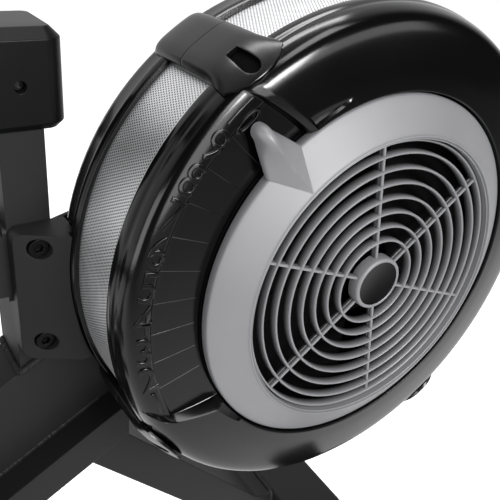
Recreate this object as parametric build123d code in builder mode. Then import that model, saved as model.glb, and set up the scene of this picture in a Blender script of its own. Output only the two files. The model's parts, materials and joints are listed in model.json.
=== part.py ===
"""Air rowing machine: fan drum with a damper lever, strap drive, rail, sliding seat and footrests.

Millimetres. +X points forward, away from the rower, +Y to the rower's left, +Z up.
The origin is on the floor, under the middle of the machine.
"""
import os
from math import acos, asin, cos, degrees, radians, sin, tan

from build123d import *

os.makedirs("parts", exist_ok=True)

# Overall layout
overall_length = 2302
fan_height = 530
grille_face_y = -203
running_gap = 0.05
moving_gap = 0.3
sheet_gap = 0.2

# Fan housing: radii from the fan axis, heights measured towards the right-hand side of the grille face
housing_radius = 256
rim_inset = 1.5
mesh_inset = 6
mesh_thickness = 1.4
mesh_near_edge = -59
mesh_far_edge = -126
mesh_tuck = 4
far_face = -163
cover_wall = 3
shoulder_inset = 13
shoulder_height = -21
dome_width = 59
dome_inner_height = -9
seat_height = -20.5
recess_start = 121.5
recess_sweep = 87
recess_floor = -23
recess_lip_inset = 24
recess_bank = 11
far_cover_hole = 30

# Braces that clip the two covers together
brace_count = 4
brace_angle = 124.3
brace_width_angle = 13
brace_rise = 7.5
brace_dip = 1
brace_slot_width = 12
brace_slot_length = 30
brace_slot_height = -43

# Damper ring, lever and shutter
ring_gap = 2.3
ring_outer_height = -11.3
ring_width = 35.5
ring_lip_width = 2.4
ring_lip_height = 6.2
ring_wall = 3
lever_angle = 131
lever_root = 3.8
lever_wide_inset = 0.7
lever_tip_gap = 2
lever_half_width = 19
lever_tip_half_width = 5
lever_base = -12.5
lever_crest = 3
damper_travel = 67.3
tab_count = 3
tab_offset = 16.8
tab_size = 8
tab_angle = 20
shutter_top = -27
shutter_thickness = 2.5
shutter_margin = 9
shutter_lap = 27
vane_start = 0
vane_angle = 84
inlet_plate_top = -32
inlet_plate_thickness = 2.5
inlet_plate_inset = 1
inlet_window_angle = 72
inlet_window_inner = 48

# Grille
grille_gap = 0.9
grille_rim = 4.3
grille_depth = 10
grille_first_ring = 44.5
grille_last_gap = 13.44
grille_ring_count = 7
grille_blade = 2.6
grille_spoke = 3.2
grille_spoke_count = 6
grille_spoke_angle = 98
hub_radius = 27
hub_height = 3.5
hub_draft = 10
badge_radius = 23
badge_thickness = 2

# Fan and drive shaft
shaft_radius = 10
fan_tip_gap = 12
fan_back = -154
fan_disc = 3
fan_front = -66
fan_blade_count = 24
fan_blade_thickness = 2
fan_blade_inner = 140
fan_blade_lean = 28
fan_hub_radius = 34
fan_hub_length = 54
fan_front_ring = 22

# Frame tubes
post_gap = 2.5
post_depth = 40
post_width = 60
post_height = 205
tube_wall = 3
tube_round = 8
beam_angle = 29
beam_depth = 100
beam_width = 60
beam_front_offset = 150
lower_beam_setback = 61
lower_beam_rear_gap = 20
rail_front_offset = 420
joint_plate_thickness = 8
joint_plate_width = 96
joint_plate_height = 128
joint_plate_round = 10
lower_beam_depth = 40
lower_beam_width = 126
leg_width = 80
leg_depth = 50
leg_angle = 47.1
leg_bend_radius = 60
leg_top_setback = 9.2
foot_tube_height = 50
foot_clearance = 5
front_foot_width = 85
leg_foot_run = 34.62
front_foot_length = 570
rear_foot_width = 70
rear_foot_length = 430
foot_cap_length = 15
foot_cap_pad = 60
foot_cap_inset = 10
foot_cap_round = 9

# Post cap and monitor
cap_bottom = 130
cap_height = 85
cap_depth = 78
cap_width = 82
cap_round = 16
cap_chamfer = 9
cap_screw_radius = 5
cap_screw_depth = 12
cap_screw_height = 169
ear_thickness = 6
ear_radius = 12
ear_reach = 22
arm_pin_radius = 4
monitor_arm_width = 27
monitor_arm_depth = 14
monitor_arm_rise = 245
monitor_arm_set_back = 40
monitor_width = 190
monitor_height = 140
monitor_depth = 34
monitor_round = 20
monitor_back_inset = 12
monitor_back_round = 16
screen_rise = 16
screen_round = 5
key_rise = 26
screen_width = 150
screen_height = 84
screen_thickness = 3
button_count = 3
button_radius = 9
button_pitch = 44
button_proud = 2.5
button_travel = 1.2
button_body = 4
button_well = 5

# Neck bracket between the post and the drum
neck_top = 42
neck_bottom = -94
neck_rear_margin = 20.5
neck_flare_inset = 27
neck_reach = 31
neck_seat_height = -140
neck_seat_depth = 5.5
neck_seat_margin = 8
neck_rear_thickness = 17
neck_front_thickness = 44
neck_round = 10
neck_bolt_heights = (28, -73)
neck_bolt_radius = 5
neck_bolt_head_radius = 9
neck_bolt_recess = 10

# Arm plates, bearings and strap drive
arm_plate_thickness = 6
arm_root_top = -8
arm_shoulder_top = 36
arm_shoulder_offset = 135
arm_boss_radius = 52
arm_slot_length = 90
arm_slot_height = 36
arm_slot_drop = 10
bearing_spigot_radius = 23.5
bearing_flange_radius = 40
bearing_flange = 10
spool_width = 30
spool_flange = 2.5
spool_flange_radius = 62
spool_hub_radius = 30
spool_bore_radius = 22
arbor_radius = 25
wound_radius = 45
strap_width = 24
strap_thickness = 2
spring_case_radius = 60
spring_case_wall = 3
spring_case_width = 13
spring_strip = 1.2
spring_turns = 4
drive_cover_depth = 30
drive_cover_round = 6
drive_cover_tail = 165
drive_cover_tail_drop = 26
drive_cover_tail_radius = 38
guide_roller_radius = 12
guide_roller_width = 44
guide_pin_radius = 4

# Handle
handle_setback = 176.5
handle_tube_radius = 12
handle_straight = 70
handle_reach = 242
handle_sweep_back = 34
handle_bend_radius = 60
grip_radius = 17
grip_start = 92
clip_length = 20
clip_width = 36
clip_height = 30
rest_plate = 4
rest_prong = 8
rest_prong_gap = 22
rest_prong_height = 40
rest_slot_height = 16

# Rail, seat and stops
rail_top = 327
rail_height = 90
rail_flange_width = 64
rail_flange = 8
rail_web = 40
rail_foot_width = 54
rail_wall = 4
rail_groove_depth = 3
rail_groove_height = 14
rail_end_overhang = 51
seat_rest_x = -150
carriage_length = 180
carriage_width = 108
carriage_plate = 4
carriage_lip = 5
carriage_lip_gap = 1.5
roller_radius = 19
roller_width = 22
roller_inner_y = 6
roller_spacing = 130
roller_axle_radius = 5
roller_head_gap = 4
seat_board = 6
seat_board_length = 190
seat_board_width = 250
seat_board_round = 50
pad_length = 250
pad_width = 310
pad_height = 52
pad_round = 70
stop_length = 20
stop_width = 44
stop_height = 26
stop_round = 6
front_stop_offset = 239
rear_stop_offset = 12
rear_leg_depth = 56
rear_leg_width = 60
rear_leg_inset = 10

# Footrests
foot_bar_offset = 470
foot_bar_depth = 40
foot_bar_height = 30
foot_bar_length = 340
foot_centre_offset = 500
foot_centre_height = 330
foot_incline = 45
foot_plate_length = 290
foot_plate_width = 110
foot_plate_thickness = 6
foot_plate_inner = 60
foot_plate_round = 28
foot_rib_inset = 30
foot_rib_width = 5
foot_rib_depth = 6
lace_hole_pitch = 26
lace_hole_length = 40
lace_hole_width = 7
lace_hole_count = 3
gusset_thickness = 8
gusset_span = 50
heel_length = 115
heel_width = 84
heel_base = 3
heel_wall_height = 42
heel_start = -140
heel_round = 12
heel_wall = 4
strap_band_width = 38
strap_band_thickness = 2.5
strap_band_height = 72
strap_band_centre = 52
strap_band_inset = 4

# Transport wheels
wheel_radius = 34
wheel_width = 24
wheel_y = 180
wheel_reach = 40
wheel_height = 42
wheel_pin_radius = 5
fork_thickness = 4
fork_eye_radius = 12
fork_side_gap = 1

# Places that follow from the sizes above
fan_x = overall_length / 2 - housing_radius
rim_radius = housing_radius - rim_inset
mesh_radius = housing_radius - mesh_inset
shoulder_radius = housing_radius - shoulder_inset
recess_lip_radius = housing_radius - recess_lip_inset
recess_outer_radius = recess_lip_radius - recess_bank
dome_inner_radius = shoulder_radius - dome_width
ring_outer_radius = dome_inner_radius - ring_gap
ring_inner_radius = ring_outer_radius - ring_width
ring_lip_radius = ring_inner_radius + ring_lip_width
tab_radius = ring_inner_radius + tab_offset
shutter_radius = tab_radius + shutter_margin
inlet_plate_radius = dome_inner_radius - inlet_plate_inset
inlet_window_outer = shutter_radius - shutter_lap
grille_radius = ring_inner_radius - grille_gap
grille_ring_pitch = (grille_radius - grille_last_gap - grille_first_ring) / (grille_ring_count - 1)
lever_inner_radius = ring_inner_radius + lever_root
lever_wide_radius = ring_outer_radius - lever_wide_inset
brace_crown = housing_radius + brace_rise
brace_saddle = brace_crown - brace_dip
lever_tip_radius = recess_lip_radius - lever_tip_gap
fan_radius = mesh_radius - fan_tip_gap
neck_seat_radius = rim_radius - neck_seat_depth
post_offset = housing_radius + post_gap + post_depth / 2
lower_beam_front_offset = housing_radius - lower_beam_setback
leg_top_offset = lower_beam_front_offset + leg_top_setback
rail_front = fan_x - rail_front_offset
rail_rear = rail_end_overhang - overall_length / 2
rail_centre = rail_top - rail_height / 2
rail_bottom = rail_top - rail_height
foot_top = foot_clearance + foot_tube_height
drum_origin = (fan_x, grille_face_y, fan_height)
drum_axis = Axis(drum_origin, (0, -1, 0))
drum_plane = Plane(origin=drum_origin, x_dir=(1, 0, 0), z_dir=(0, -1, 0))
strap_height = fan_height
post_x = fan_x - post_offset
post_front = post_x + post_depth / 2
post_rear = post_x - post_depth / 2
arm_right_outer = post_width / 2
arm_left_inner = post_width / 2
arm_left_outer = arm_left_inner + arm_plate_thickness
beam_slope = tan(radians(beam_angle))
beam_half_rise = beam_depth / 2 / cos(radians(beam_angle))
lower_rise = lower_beam_depth / cos(radians(beam_angle))


def beam_height(x):
    """Height of the main beam's centre line at x."""
    return rail_centre + (x - rail_front) * beam_slope


def side_plane(y):
    """Vertical plane seen from the right, with X across, Z up and its normal along -Y."""
    return Plane(origin=(0, y, 0), x_dir=(1, 0, 0), z_dir=(0, -1, 0))


def drum_level(height):
    """Plane square to the fan axis, at a height towards the right of the grille face."""
    return drum_plane.offset(height)


def radial_plane(angle):
    """Plane through the fan axis, with the radius across and the drum height up."""
    a = radians(angle)
    return Plane(origin=drum_origin, x_dir=(cos(a), 0, sin(a)), z_dir=(sin(a), 0, -cos(a)))


def axle_plane(x, z):
    """Plane through an axle along Y at (x, z), with the radius across and -Y up."""
    return Plane(origin=(x, 0, z), x_dir=(1, 0, 0), z_dir=(0, 0, -1))


def sector(inner, outer, start, sweep):
    """Flat ring sector about the sketch origin."""
    with BuildSketch(Plane.XY) as piece:
        with BuildLine() as outline:
            far = CenterArc((0, 0), outer, start, sweep)
            near = CenterArc((0, 0), inner, start, sweep)
            Line(far @ 0, near @ 0)
            Line(far @ 1, near @ 1)
        make_face()
    return piece.sketch


def sloped_tube(rear_x, front_x, top, depth_rise, width, wall):
    """Box tube that follows the beam's slope, cut upright at both ends."""
    with BuildPart() as tube:
        for skin, mode in ((0, Mode.ADD), (wall, Mode.SUBTRACT)):
            skin_rise = skin / cos(radians(beam_angle))
            high = top - skin_rise
            low = top - depth_rise + skin_rise
            with BuildSketch(side_plane(0)) as side:
                with BuildLine() as outline:
                    Polyline(
                        (rear_x, beam_height(rear_x) + low),
                        (front_x - skin, beam_height(front_x - skin) + low),
                        (front_x - skin, beam_height(front_x - skin) + high),
                        (rear_x, beam_height(rear_x) + high),
                        close=True,
                    )
                make_face()
            extrude(amount=width / 2 - skin, both=True, mode=mode)
    return tube.part


def cross_tube(centre_x, depth, length):
    """Floor tube that lies along Y, with rounded edges and a hollow middle."""
    with BuildPart() as tube:
        with BuildSketch(Plane.XZ.offset(-length / 2)) as section:
            with Locations((centre_x, foot_clearance + foot_tube_height / 2)):
                RectangleRounded(depth, foot_tube_height, tube_round)
                RectangleRounded(depth - 2 * tube_wall, foot_tube_height - 2 * tube_wall, tube_round - 2,
                                 mode=Mode.SUBTRACT)
        extrude(amount=length)
    return tube.part


def write(piece, name):
    """Label a finished piece and write its file."""
    piece.label = name
    export_step(piece, f"parts/{name}.step")


# Main beam: box tube that rises from the rail to the drum, with the rail's joint plate welded on
beam_front = fan_x - beam_front_offset
with BuildPart() as main_beam:
    add(sloped_tube(rail_front, beam_front, beam_half_rise, 2 * beam_half_rise, beam_width, tube_wall))
    with BuildSketch(Plane.YZ.offset(rail_front - joint_plate_thickness)) as plate:
        with Locations((0, rail_centre)):
            RectangleRounded(joint_plate_width, joint_plate_height, joint_plate_round)
    extrude(amount=joint_plate_thickness)
write(main_beam.part, "main_beam")

# Lower beam: wide flat tube welded under the main beam
lower_rear = rail_front + lower_beam_rear_gap
lower_front = fan_x - lower_beam_front_offset
lower_beam = sloped_tube(lower_rear, lower_front, -beam_half_rise, lower_rise, lower_beam_width, tube_wall)
write(lower_beam, "lower_beam")

# Front leg: flat tube, cut to the lower beam's underside and bent level into the front foot
leg_top_x = fan_x - leg_top_offset
leg_top_z = beam_height(leg_top_x) - beam_half_rise - lower_rise
leg_tilt = radians(leg_angle)
leg_start = (leg_top_x - leg_depth / 2 * sin(leg_tilt), leg_top_z - leg_depth / 2 * cos(leg_tilt))
foot_middle = foot_clearance + foot_tube_height / 2
leg_corner = (leg_start[0] + (leg_start[1] - foot_middle) / tan(leg_tilt), foot_middle)
leg_above = 90
leg_upper = (leg_start[0] - leg_above, leg_start[1] + leg_above * tan(leg_tilt))
front_foot_rear = leg_corner[0] + leg_foot_run
with BuildPart() as front_leg:
    for skin, mode in ((0, Mode.ADD), (tube_wall, Mode.SUBTRACT)):
        with BuildSketch(side_plane(0)) as band:
            with BuildLine() as route:
                FilletPolyline(leg_upper, leg_corner, (front_foot_rear, foot_middle), radius=leg_bend_radius)
            trace(line_width=leg_depth - 2 * skin)
        extrude(amount=leg_width / 2 - skin, both=True, mode=mode)
    with BuildSketch(side_plane(0)) as above:
        with BuildLine() as underside:
            Polyline(
                (lower_rear, beam_height(lower_rear) - beam_half_rise - lower_rise),
                (beam_front, beam_height(beam_front) - beam_half_rise - lower_rise),
                (beam_front, beam_height(beam_front) + 2 * beam_depth),
                (lower_rear, beam_height(beam_front) + 2 * beam_depth),
                close=True,
            )
        make_face()
    extrude(amount=leg_width, both=True, mode=Mode.SUBTRACT)
write(front_leg.part, "front_leg")

# Front and rear feet: cross tubes, with rubber end caps that stand on the floor
front_foot_x = front_foot_rear + front_foot_width / 2
rear_foot_x = -overall_length / 2 + rear_foot_width / 2
write(cross_tube(front_foot_x, front_foot_width, front_foot_length), "front_foot")
write(cross_tube(rear_foot_x, rear_foot_width, rear_foot_length), "rear_foot")

with BuildPart() as foot_caps:
    for foot_x, depth, length in (
        (front_foot_x, front_foot_width, front_foot_length),
        (rear_foot_x, rear_foot_width, rear_foot_length),
    ):
        for side in (1, -1):
            with BuildSketch(Plane.XZ.offset(-side * length / 2)) as end:
                with Locations((foot_x, foot_top / 2)):
                    RectangleRounded(depth, foot_top, foot_cap_round)
            extrude(amount=-side * foot_cap_length)
            with BuildSketch(Plane.XY) as pad:
                with Locations((foot_x, side * (length / 2 - foot_cap_pad / 2))):
                    RectangleRounded(depth - 2 * foot_cap_inset, foot_cap_pad, tube_round)
            extrude(amount=foot_clearance)
write(foot_caps.part, "foot_caps")

# Transport wheels: a fork with its pin on the front face of the front foot, and a rubber wheel in each
wheel_x = front_foot_rear + front_foot_width + wheel_reach
fork_inner = wheel_width / 2 + fork_side_gap
with BuildPart() as wheel_forks:
    for side in (1, -1):
        for cheek in (fork_inner + fork_thickness / 2, -fork_inner - fork_thickness / 2):
            with BuildSketch(side_plane(side * wheel_y + cheek)) as plate:
                with Locations((wheel_x - wheel_reach / 2, wheel_height)):
                    Rectangle(wheel_reach, 2 * fork_eye_radius)
                with Locations((wheel_x, wheel_height)):
                    Circle(fork_eye_radius)
            extrude(amount=fork_thickness / 2, both=True)
        with BuildSketch(side_plane(side * wheel_y)) as pin:
            with Locations((wheel_x, wheel_height)):
                Circle(wheel_pin_radius)
        extrude(amount=fork_inner + fork_thickness, both=True)
write(wheel_forks.part, "wheel_forks")

for side, side_name in ((1, "left"), (-1, "right")):
    with BuildPart() as wheel:
        with BuildSketch(Plane(origin=(wheel_x, side * wheel_y, wheel_height), x_dir=(1, 0, 0),
                               z_dir=(0, 0, -1))) as profile:
            with BuildLine() as outline:
                bore = wheel_pin_radius + running_gap
                half = wheel_width / 2
                Polyline((wheel_radius, half - 5), (wheel_radius - 4, half), (wheel_radius - 9, half),
                         (wheel_radius - 10, half - 5), (bore + 7, half - 5), (bore + 6, half), (bore, half),
                         (bore, -half), (bore + 6, -half), (bore + 7, 5 - half),
                         (wheel_radius - 10, 5 - half), (wheel_radius - 9, -half), (wheel_radius - 4, -half),
                         (wheel_radius, 5 - half))
                ThreePointArc((wheel_radius, 5 - half), (wheel_radius + 1, 0), (wheel_radius, half - 5))
            make_face()
        revolve(axis=Axis((wheel_x, side * wheel_y, wheel_height), (0, 1, 0)))
    write(wheel.part, f"transport_wheel_{side_name}")

# Post: upright box tube on the beam, with slots for the strap and holes for the guide pin and neck bolts
post_top = fan_height + post_height
guide_roller_z = strap_height + strap_thickness / 2 + moving_gap + guide_roller_radius
with BuildPart() as post:
    for skin, mode in ((0, Mode.ADD), (tube_wall, Mode.SUBTRACT)):
        left = post_rear + skin
        right = post_front - skin
        with BuildSketch(side_plane(0)) as side_view:
            with BuildLine() as outline:
                Polyline(
                    (left, beam_height(left) + beam_half_rise),
                    (right, beam_height(right) + beam_half_rise),
                    (right, post_top),
                    (left, post_top),
                    close=True,
                )
            make_face()
        extrude(amount=post_width / 2 - skin, both=True, mode=mode)
    with BuildSketch(Plane.YZ.offset(post_rear)) as slot:
        with Locations((0, strap_height + 1)):
            RectangleRounded(strap_width + 10, rest_slot_height, 5)
    extrude(amount=post_depth, mode=Mode.SUBTRACT)
    with BuildSketch(side_plane(0)) as pin_hole:
        with Locations((post_x, guide_roller_z)):
            Circle(guide_pin_radius)
    extrude(amount=post_width / 2, both=True, mode=Mode.SUBTRACT)
    with BuildSketch(side_plane(-post_width / 2 + tube_wall)) as bolt_holes:
        with Locations(*[(post_x, fan_height + z) for z in neck_bolt_heights]):
            Circle(neck_bolt_radius)
    extrude(amount=tube_wall, mode=Mode.SUBTRACT)
write(post.part, "post")

# Post cap: rounded plastic block on top of the post, with two ears behind for the monitor arm
ear_x = post_x - cap_depth / 2 - ear_reach
ear_z = fan_height + cap_bottom + cap_height / 2
with BuildPart() as post_cap:
    with BuildSketch(Plane.XY.offset(fan_height + cap_bottom)) as outline:
        with Locations((post_x, 0)):
            RectangleRounded(cap_depth, cap_width, cap_round)
    extrude(amount=cap_height)
    chamfer(post_cap.faces().sort_by(Axis.Z)[-1].edges(), cap_chamfer)
    chamfer(post_cap.faces().sort_by(Axis.Z)[0].edges(), cap_chamfer * 0.7)
    with BuildSketch(Plane.XY.offset(fan_height + cap_bottom)) as socket:
        with Locations((post_x, 0)):
            Rectangle(post_depth + 2 * sheet_gap, post_width + 2 * sheet_gap)
    extrude(amount=post_height - cap_bottom, mode=Mode.SUBTRACT)
    for side in (1, -1):
        with BuildSketch(side_plane(side * (monitor_arm_width / 2 + moving_gap + ear_thickness / 2))) as ear:
            with Locations((ear_x + ear_reach / 2 + 1, ear_z)):
                Rectangle(ear_reach + 2, 2 * ear_radius)
            with Locations((ear_x, ear_z)):
                Circle(ear_radius)
                Circle(arm_pin_radius + running_gap, mode=Mode.SUBTRACT)
        extrude(amount=ear_thickness / 2, both=True)
    with BuildSketch(side_plane(-cap_width / 2)) as screw_hole:
        with Locations((post_x, fan_height + cap_screw_height)):
            Circle(cap_screw_radius)
    extrude(amount=-cap_screw_depth, mode=Mode.SUBTRACT)
write(post_cap.part, "post_cap")

# Neck bracket: cast wedge bolted to the side of the post, flaring out to the drum
neck_rear = post_x - neck_rear_margin
neck_flare = post_x + neck_flare_inset
neck_front = fan_x - housing_radius + neck_reach
with BuildPart() as neck_bracket:
    with BuildSketch(Plane.XY.offset(fan_height + neck_bottom)) as plan:
        with BuildLine() as outline:
            Polyline(
                (neck_rear, -post_width / 2),
                (neck_rear, -post_width / 2 - neck_rear_thickness),
                (neck_flare, -post_width / 2 - neck_front_thickness),
                (neck_front, -post_width / 2 - neck_front_thickness),
                (neck_front, -post_width / 2),
                close=True,
            )
        make_face()
    extrude(amount=neck_top - neck_bottom)
    for radius, level, depth in (
        (neck_seat_radius, neck_seat_height, neck_seat_height - grille_face_y - post_width / 2),
        (housing_radius, neck_seat_height + neck_front_thickness, neck_front_thickness),
    ):
        with BuildSketch(drum_level(level)) as drum_side:
            Circle(radius + sheet_gap)
        extrude(amount=-depth, mode=Mode.SUBTRACT)
    rear_face = neck_bracket.faces().sort_by(Axis.X)[0]
    fillet(rear_face.edges().filter_by(Axis.Y), neck_round)
    neck_slope = (neck_front_thickness - neck_rear_thickness) / (neck_rear_margin + neck_flare_inset)
    neck_at_bolt = post_width / 2 + neck_rear_thickness + (post_x - neck_rear) * neck_slope
    with Locations(*[Location((post_x, -neck_at_bolt, fan_height + z), (90, 0, 0))
                     for z in neck_bolt_heights]):
        CounterBoreHole(neck_bolt_radius, neck_bolt_head_radius + 1, neck_bolt_recess)
write(neck_bracket.part, "neck_bracket")

with BuildPart() as neck_bolts:
    bolt_head_back = -neck_at_bolt + neck_bolt_recess
    for z in neck_bolt_heights:
        with BuildSketch(side_plane(bolt_head_back)) as head:
            with Locations((post_x, fan_height + z)):
                Circle(neck_bolt_head_radius)
                RegularPolygon(neck_bolt_head_radius * 0.5, 6, mode=Mode.SUBTRACT)
        extrude(amount=neck_bolt_recess - 2)
        with BuildSketch(side_plane(bolt_head_back)) as shank:
            with Locations((post_x, fan_height + z)):
                Circle(neck_bolt_radius)
        extrude(amount=-(-bolt_head_back - post_width / 2 + tube_wall))
        with BuildSketch(side_plane(bolt_head_back)) as floor:
            with Locations((post_x, fan_height + z)):
                Circle(neck_bolt_head_radius)
        extrude(amount=3)
write(neck_bolts.part, "neck_bolts")

# Arm plates: one butts on the post's front face, the other laps its left face, and both hold a bearing
for name, inner_y, root_x in (
    ("arm_plate_right", -arm_right_outer, post_front),
    ("arm_plate_left", arm_left_inner, post_rear),
):
    with BuildPart() as arm_plate:
        with BuildSketch(side_plane(inner_y + arm_plate_thickness)) as outline:
            with BuildLine() as web:
                Polyline(
                    (root_x, fan_height + arm_root_top),
                    (fan_x - arm_shoulder_offset, fan_height + arm_shoulder_top),
                    (fan_x, fan_height + arm_boss_radius),
                    (fan_x, fan_height - arm_boss_radius),
                    (beam_front, beam_height(beam_front) + beam_half_rise),
                    (root_x, beam_height(root_x) + beam_half_rise),
                    close=True,
                )
            make_face()
            with Locations((fan_x, fan_height)):
                Circle(arm_boss_radius)
                Circle(bearing_spigot_radius, mode=Mode.SUBTRACT)
            with Locations((fan_x - post_offset / 2, fan_height - arm_slot_drop)):
                SlotOverall(arm_slot_length, arm_slot_height, mode=Mode.SUBTRACT)
        extrude(amount=arm_plate_thickness)
    write(arm_plate.part, name)

with BuildPart() as axle_bearings:
    for flange_face, away in ((-arm_right_outer, -1), (arm_left_outer, 1)):
        with BuildSketch(side_plane(flange_face)) as flange:
            with Locations((fan_x, fan_height)):
                Circle(bearing_flange_radius)
                Circle(shaft_radius + running_gap, mode=Mode.SUBTRACT)
        extrude(amount=-away * bearing_flange)
        with BuildSketch(side_plane(flange_face)) as spigot:
            with Locations((fan_x, fan_height)):
                Circle(bearing_spigot_radius)
                Circle(shaft_radius + running_gap, mode=Mode.SUBTRACT)
        extrude(amount=away * arm_plate_thickness)
write(axle_bearings.part, "axle_bearings")

# Far cover: moulded drum back with a raised rim line, cut away where the neck bracket meets it
tuck_radius = mesh_radius + sheet_gap
with BuildPart() as far_cover:
    with BuildSketch(radial_plane(0)) as profile:
        with BuildLine() as outline:
            Polyline(
                (far_cover_hole, far_face + cover_wall),
                (far_cover_hole, far_face),
                (rim_radius - 14, far_face),
            )
            ThreePointArc((rim_radius - 14, far_face), (rim_radius - 4.1, far_face + 4.1),
                          (rim_radius, far_face + 14))
            Polyline(
                (rim_radius, far_face + 14),
                (rim_radius, mesh_far_edge - 11),
                (housing_radius, mesh_far_edge - 9),
                (housing_radius, mesh_far_edge - 4),
                (rim_radius, mesh_far_edge - 2),
                (rim_radius, mesh_far_edge),
                (tuck_radius, mesh_far_edge),
                (tuck_radius, mesh_far_edge - mesh_tuck - sheet_gap),
                (tuck_radius - cover_wall, mesh_far_edge - mesh_tuck - sheet_gap),
                (tuck_radius - cover_wall, far_face + 15),
                (rim_radius - 15, far_face + cover_wall),
                (far_cover_hole, far_face + cover_wall),
            )
        make_face()
    revolve(axis=drum_axis)
    notch_start = 180 - degrees(asin((neck_top + neck_seat_margin) / rim_radius))
    notch_end = 180 + degrees(asin((1 - neck_bottom) / neck_seat_radius))
    with BuildSketch(drum_level(neck_seat_height)) as notch:
        add(sector(neck_seat_radius, housing_radius + 1, notch_start, notch_end - notch_start))
    extrude(amount=far_face - neck_seat_height, mode=Mode.SUBTRACT)
write(far_cover.part, "far_cover")

# Mesh band: perforated sheet that joins the two covers and lets the air out
with BuildPart() as mesh_band:
    with BuildSketch(drum_level(mesh_far_edge - mesh_tuck)) as hoop:
        Circle(mesh_radius)
        Circle(mesh_radius - mesh_thickness, mode=Mode.SUBTRACT)
    extrude(amount=mesh_near_edge - mesh_far_edge + 2 * mesh_tuck)
write(mesh_band.part, "mesh_band")

# Near cover: domed moulding with a rim groove, a rounded shoulder, a sunken seat for the damper ring,
# a collar for the grille and a recess in which the lever sweeps past its numbers
rim_step = mesh_near_edge + mesh_tuck
rim_edge = rim_step - 9
near_rim_radius = tuck_radius + 3.6
groove_radius = tuck_radius + 1.4
seat_inner = grille_radius - grille_rim
collar_top = -grille_depth
with BuildPart() as near_cover:
    with BuildSketch(radial_plane(0)) as profile:
        with BuildLine() as outline:
            Polyline(
                (tuck_radius, rim_edge),
                (near_rim_radius, rim_edge),
                (near_rim_radius, rim_step - 1),
                (groove_radius, rim_step),
                (groove_radius, rim_step + 3),
                (groove_radius + 1, rim_step + 6),
            )
            ThreePointArc((groove_radius + 1, rim_step + 6), (mesh_radius + 0.6, rim_step + 21),
                          (shoulder_radius, shoulder_height))
            ThreePointArc((shoulder_radius, shoulder_height),
                          ((shoulder_radius + dome_inner_radius) / 2 + 2, shoulder_height + 8.8),
                          (dome_inner_radius, dome_inner_height))
            Polyline(
                (dome_inner_radius, dome_inner_height),
                (dome_inner_radius, seat_height),
                (grille_radius, seat_height),
                (grille_radius, collar_top),
                (seat_inner, collar_top),
                (seat_inner, seat_height - cover_wall),
                (dome_inner_radius + cover_wall, seat_height - cover_wall),
                (dome_inner_radius + cover_wall, dome_inner_height - cover_wall - 0.6),
            )
            ThreePointArc((dome_inner_radius + cover_wall, dome_inner_height - cover_wall - 0.6),
                          ((shoulder_radius + dome_inner_radius) / 2 + 1, shoulder_height + 5),
                          (shoulder_radius - 2.6, shoulder_height - cover_wall))
            ThreePointArc((shoulder_radius - 2.6, shoulder_height - cover_wall),
                          (mesh_radius - 3.2, rim_step + 20),
                          (mesh_radius - cover_wall, rim_step + 5))
            Polyline(
                (mesh_radius - cover_wall, rim_step + 5),
                (mesh_radius - cover_wall, rim_step + sheet_gap),
                (tuck_radius, rim_step + sheet_gap),
                (tuck_radius, rim_edge),
            )
        make_face()
    revolve(axis=drum_axis)
    with BuildSketch(radial_plane(recess_start - 2)) as tub:
        with BuildLine() as outline:
            Polyline(
                (dome_inner_radius + 1, shoulder_height + 6),
                (dome_inner_radius + 1, recess_floor - cover_wall),
                (recess_outer_radius + 2, recess_floor - 2 - cover_wall),
                (recess_lip_radius + 4, shoulder_height - 1),
                (recess_lip_radius + 4, shoulder_height + 1.4),
                (recess_lip_radius, shoulder_height + 4),
                close=True,
            )
        make_face()
    revolve(axis=drum_axis, revolution_arc=recess_sweep + 4)
    with BuildSketch(radial_plane(recess_start)) as recess:
        with BuildLine() as outline:
            Polyline(
                (dome_inner_radius - 1, 2),
                (dome_inner_radius - 1, recess_floor + 2),
                (dome_inner_radius + 6, recess_floor),
                (recess_outer_radius, recess_floor - 2),
                (recess_lip_radius, shoulder_height + 5.2),
                (recess_lip_radius + 1, 2),
                close=True,
            )
        make_face()
    revolve(axis=drum_axis, revolution_arc=recess_sweep, mode=Mode.SUBTRACT)
    with BuildSketch(drum_level(seat_height - cover_wall - 1)) as tab_slots:
        slot_half = tab_size / 2 + 1
        slot_margin = degrees(slot_half / tab_radius)
        for k in range(tab_count):
            start = tab_angle + 360 / tab_count * k - slot_margin
            add(sector(tab_radius - slot_half, tab_radius + slot_half, start, damper_travel + 2 * slot_margin))
    extrude(amount=cover_wall + 2, mode=Mode.SUBTRACT)
write(near_cover.part, "near_cover")

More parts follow.
